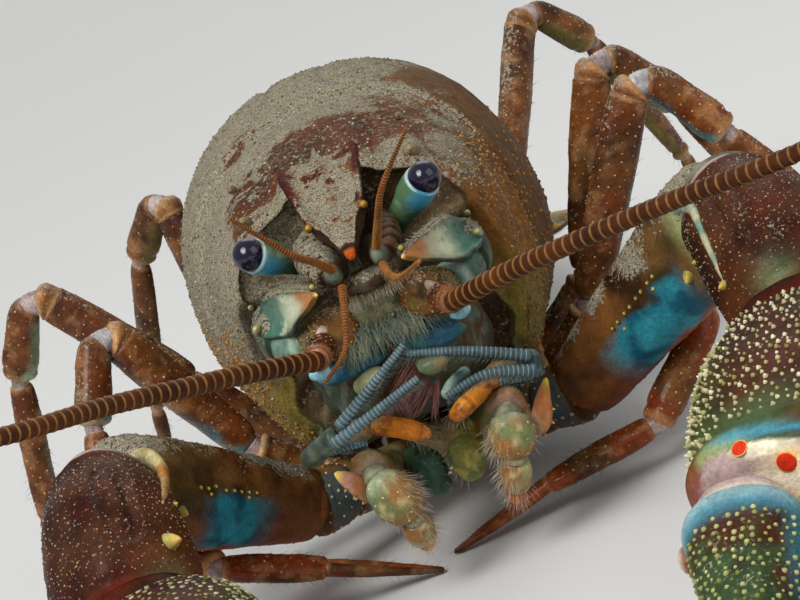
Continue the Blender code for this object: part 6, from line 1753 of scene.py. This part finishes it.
def build_sternum():
    piece = Piece()
    rows = beads(1, (0, 19.4, 8.1, 3.0, 1.4), (0, 26, 6.1, 4.6, 1.7), (0, 36, 5.9, 4.9, 1.7), (0, 48, 5.9, 4.9, 1.7),
                 (0, 56, 6.8, 4.4, 2.5), (0, 61.6, 8.0, 4.0, 3.7))
    p, normal, _ = tube(rows, ACROSS, 72, 3.0, 0.35, (0.6, 0.6))
    furrow = sum(bump(p[..., 1] - k, 0.5) for k in (27, 33, 39.5, 46.5, 53.5))
    relief = -0.35 * furrow - 0.3 * bump(p[..., 0], 0.6) * (normal[..., 2] < 0) + 0.1 * fractal(p, 2.0, 2800)
    p = push(p, normal, relief)
    piece.grid(p, layers("a8946a", ("8a6e48", ramp(-0.4, 0.4, fractal(p, 2.5, 2801))),
                         ("5f4a34", np.clip(furrow, 0, 1) * 0.7)))
    for k in (30, 36, 43, 50):
        for s in SIDES.values():
            socket = beads(s, (1.6, k, 5.0, 0.9, 0.7), (5.2, k, 5.0, 1.7, 1.5))
            skin(piece, socket, AHEAD, 2810 + k, ("a8946a", "8a6244"), (0.5, 0.4), 28)
    piece.build("sternum_plates", SHELL, "shell", "sternum")


build_sternum()
build_abdomen()
build_tail()


# camera, floor and light
FLOOR_HALF = 3.0
FLOOR_COLOUR = (0.62, 0.61, 0.59, 1)
SKY_COLOUR = (0.75, 0.78, 0.8, 1)


def place(name, data):
    """Puts a new object in the scene."""
    ob = bpy.data.objects.new(name, data)
    bpy.context.scene.collection.objects.link(ob)
    return ob


def place_camera():
    a, e, r = (math.radians(v) for v in (CAMERA_AZIMUTH, CAMERA_ELEVATION, CAMERA_ROLL))
    back = Vector((math.sin(a) * math.cos(e), -math.cos(a) * math.cos(e), math.sin(e)))
    right = Vector((math.cos(a), math.sin(a), 0))
    up = back.cross(right)
    data = bpy.data.cameras.new("camera")
    data.sensor_width = SENSOR
    data.lens = FOCAL_PIXELS / PHOTO_WIDTH * SENSOR
    data.clip_start = 0.01
    ob = place("camera", data)
    matrix = ob.matrix_world.copy()
    spot = Vector(CAMERA_TARGET) * MM + Vector(ORIGIN) + back * CAMERA_DISTANCE * MM
    axes = (right * math.cos(r) + up * math.sin(r), up * math.cos(r) - right * math.sin(r), back, spot)
    for k, axis in enumerate(axes):
        for i in range(3):
            matrix[i][k] = axis[i]
    ob.matrix_world = matrix
    bpy.context.scene.camera = ob


def skylight(name, way, strength, spread):
    """Even light from far away, so that the floor is as pale at the back as at the front."""
    data = bpy.data.lights.new(name, "SUN")
    data.energy = strength
    data.angle = math.radians(spread)
    place(name, data).rotation_euler = Vector(way).to_track_quat("Z", "Y").to_euler()


def softbox(name, spot, aim, size, watts):
    data = bpy.data.lights.new(name, "AREA")
    data.shape = "RECTANGLE"
    data.size, data.size_y = size[0] * MM, size[1] * MM
    data.energy = watts
    ob = place(name, data)
    ob.location = Vector(spot) * MM + Vector(ORIGIN)
    ob.rotation_euler = ((Vector(aim) - Vector(spot)) * -1).to_track_quat("Z", "Y").to_euler()


def build_studio():
    world = bpy.data.worlds.new("studio")
    bpy.context.scene.world = world
    world.use_nodes = True
    background = world.node_tree.nodes["Background"]
    background.inputs["Color"].default_value = SKY_COLOUR
    background.inputs["Strength"].default_value = 0.5
    mesh = bpy.data.meshes.new("floor")
    corners = [(x * FLOOR_HALF, y * FLOOR_HALF, 0) for x, y in ((-1, -1), (1, -1), (1, 1), (-1, 1))]
    mesh.from_pydata(corners, [], [(0, 1, 2, 3)])
    mat = bpy.data.materials.new("floor_paint")
    mat.use_nodes = True
    shader = mat.node_tree.nodes["Principled BSDF"]
    shader.inputs["Base Color"].default_value = FLOOR_COLOUR
    shader.inputs["Roughness"].default_value = 0.9
    mesh.materials.append(mat)
    floor = place("floor", mesh)
    floor.location.z = -0.0002
    skylight("sky", (-0.45, -0.6, 1.0), 1.9, 35)
    skylight("back", (0.3, 1.0, 0.9), 0.45, 40)
    softbox("key", (-160, -260, 300), (0, 10, 20), (180, 180), 0.7)
    softbox("fill", (260, -200, 180), (0, 0, 20), (260, 260), 0.3)


place_camera()
build_studio()
bpy.context.scene.view_settings.view_transform = "Standard"
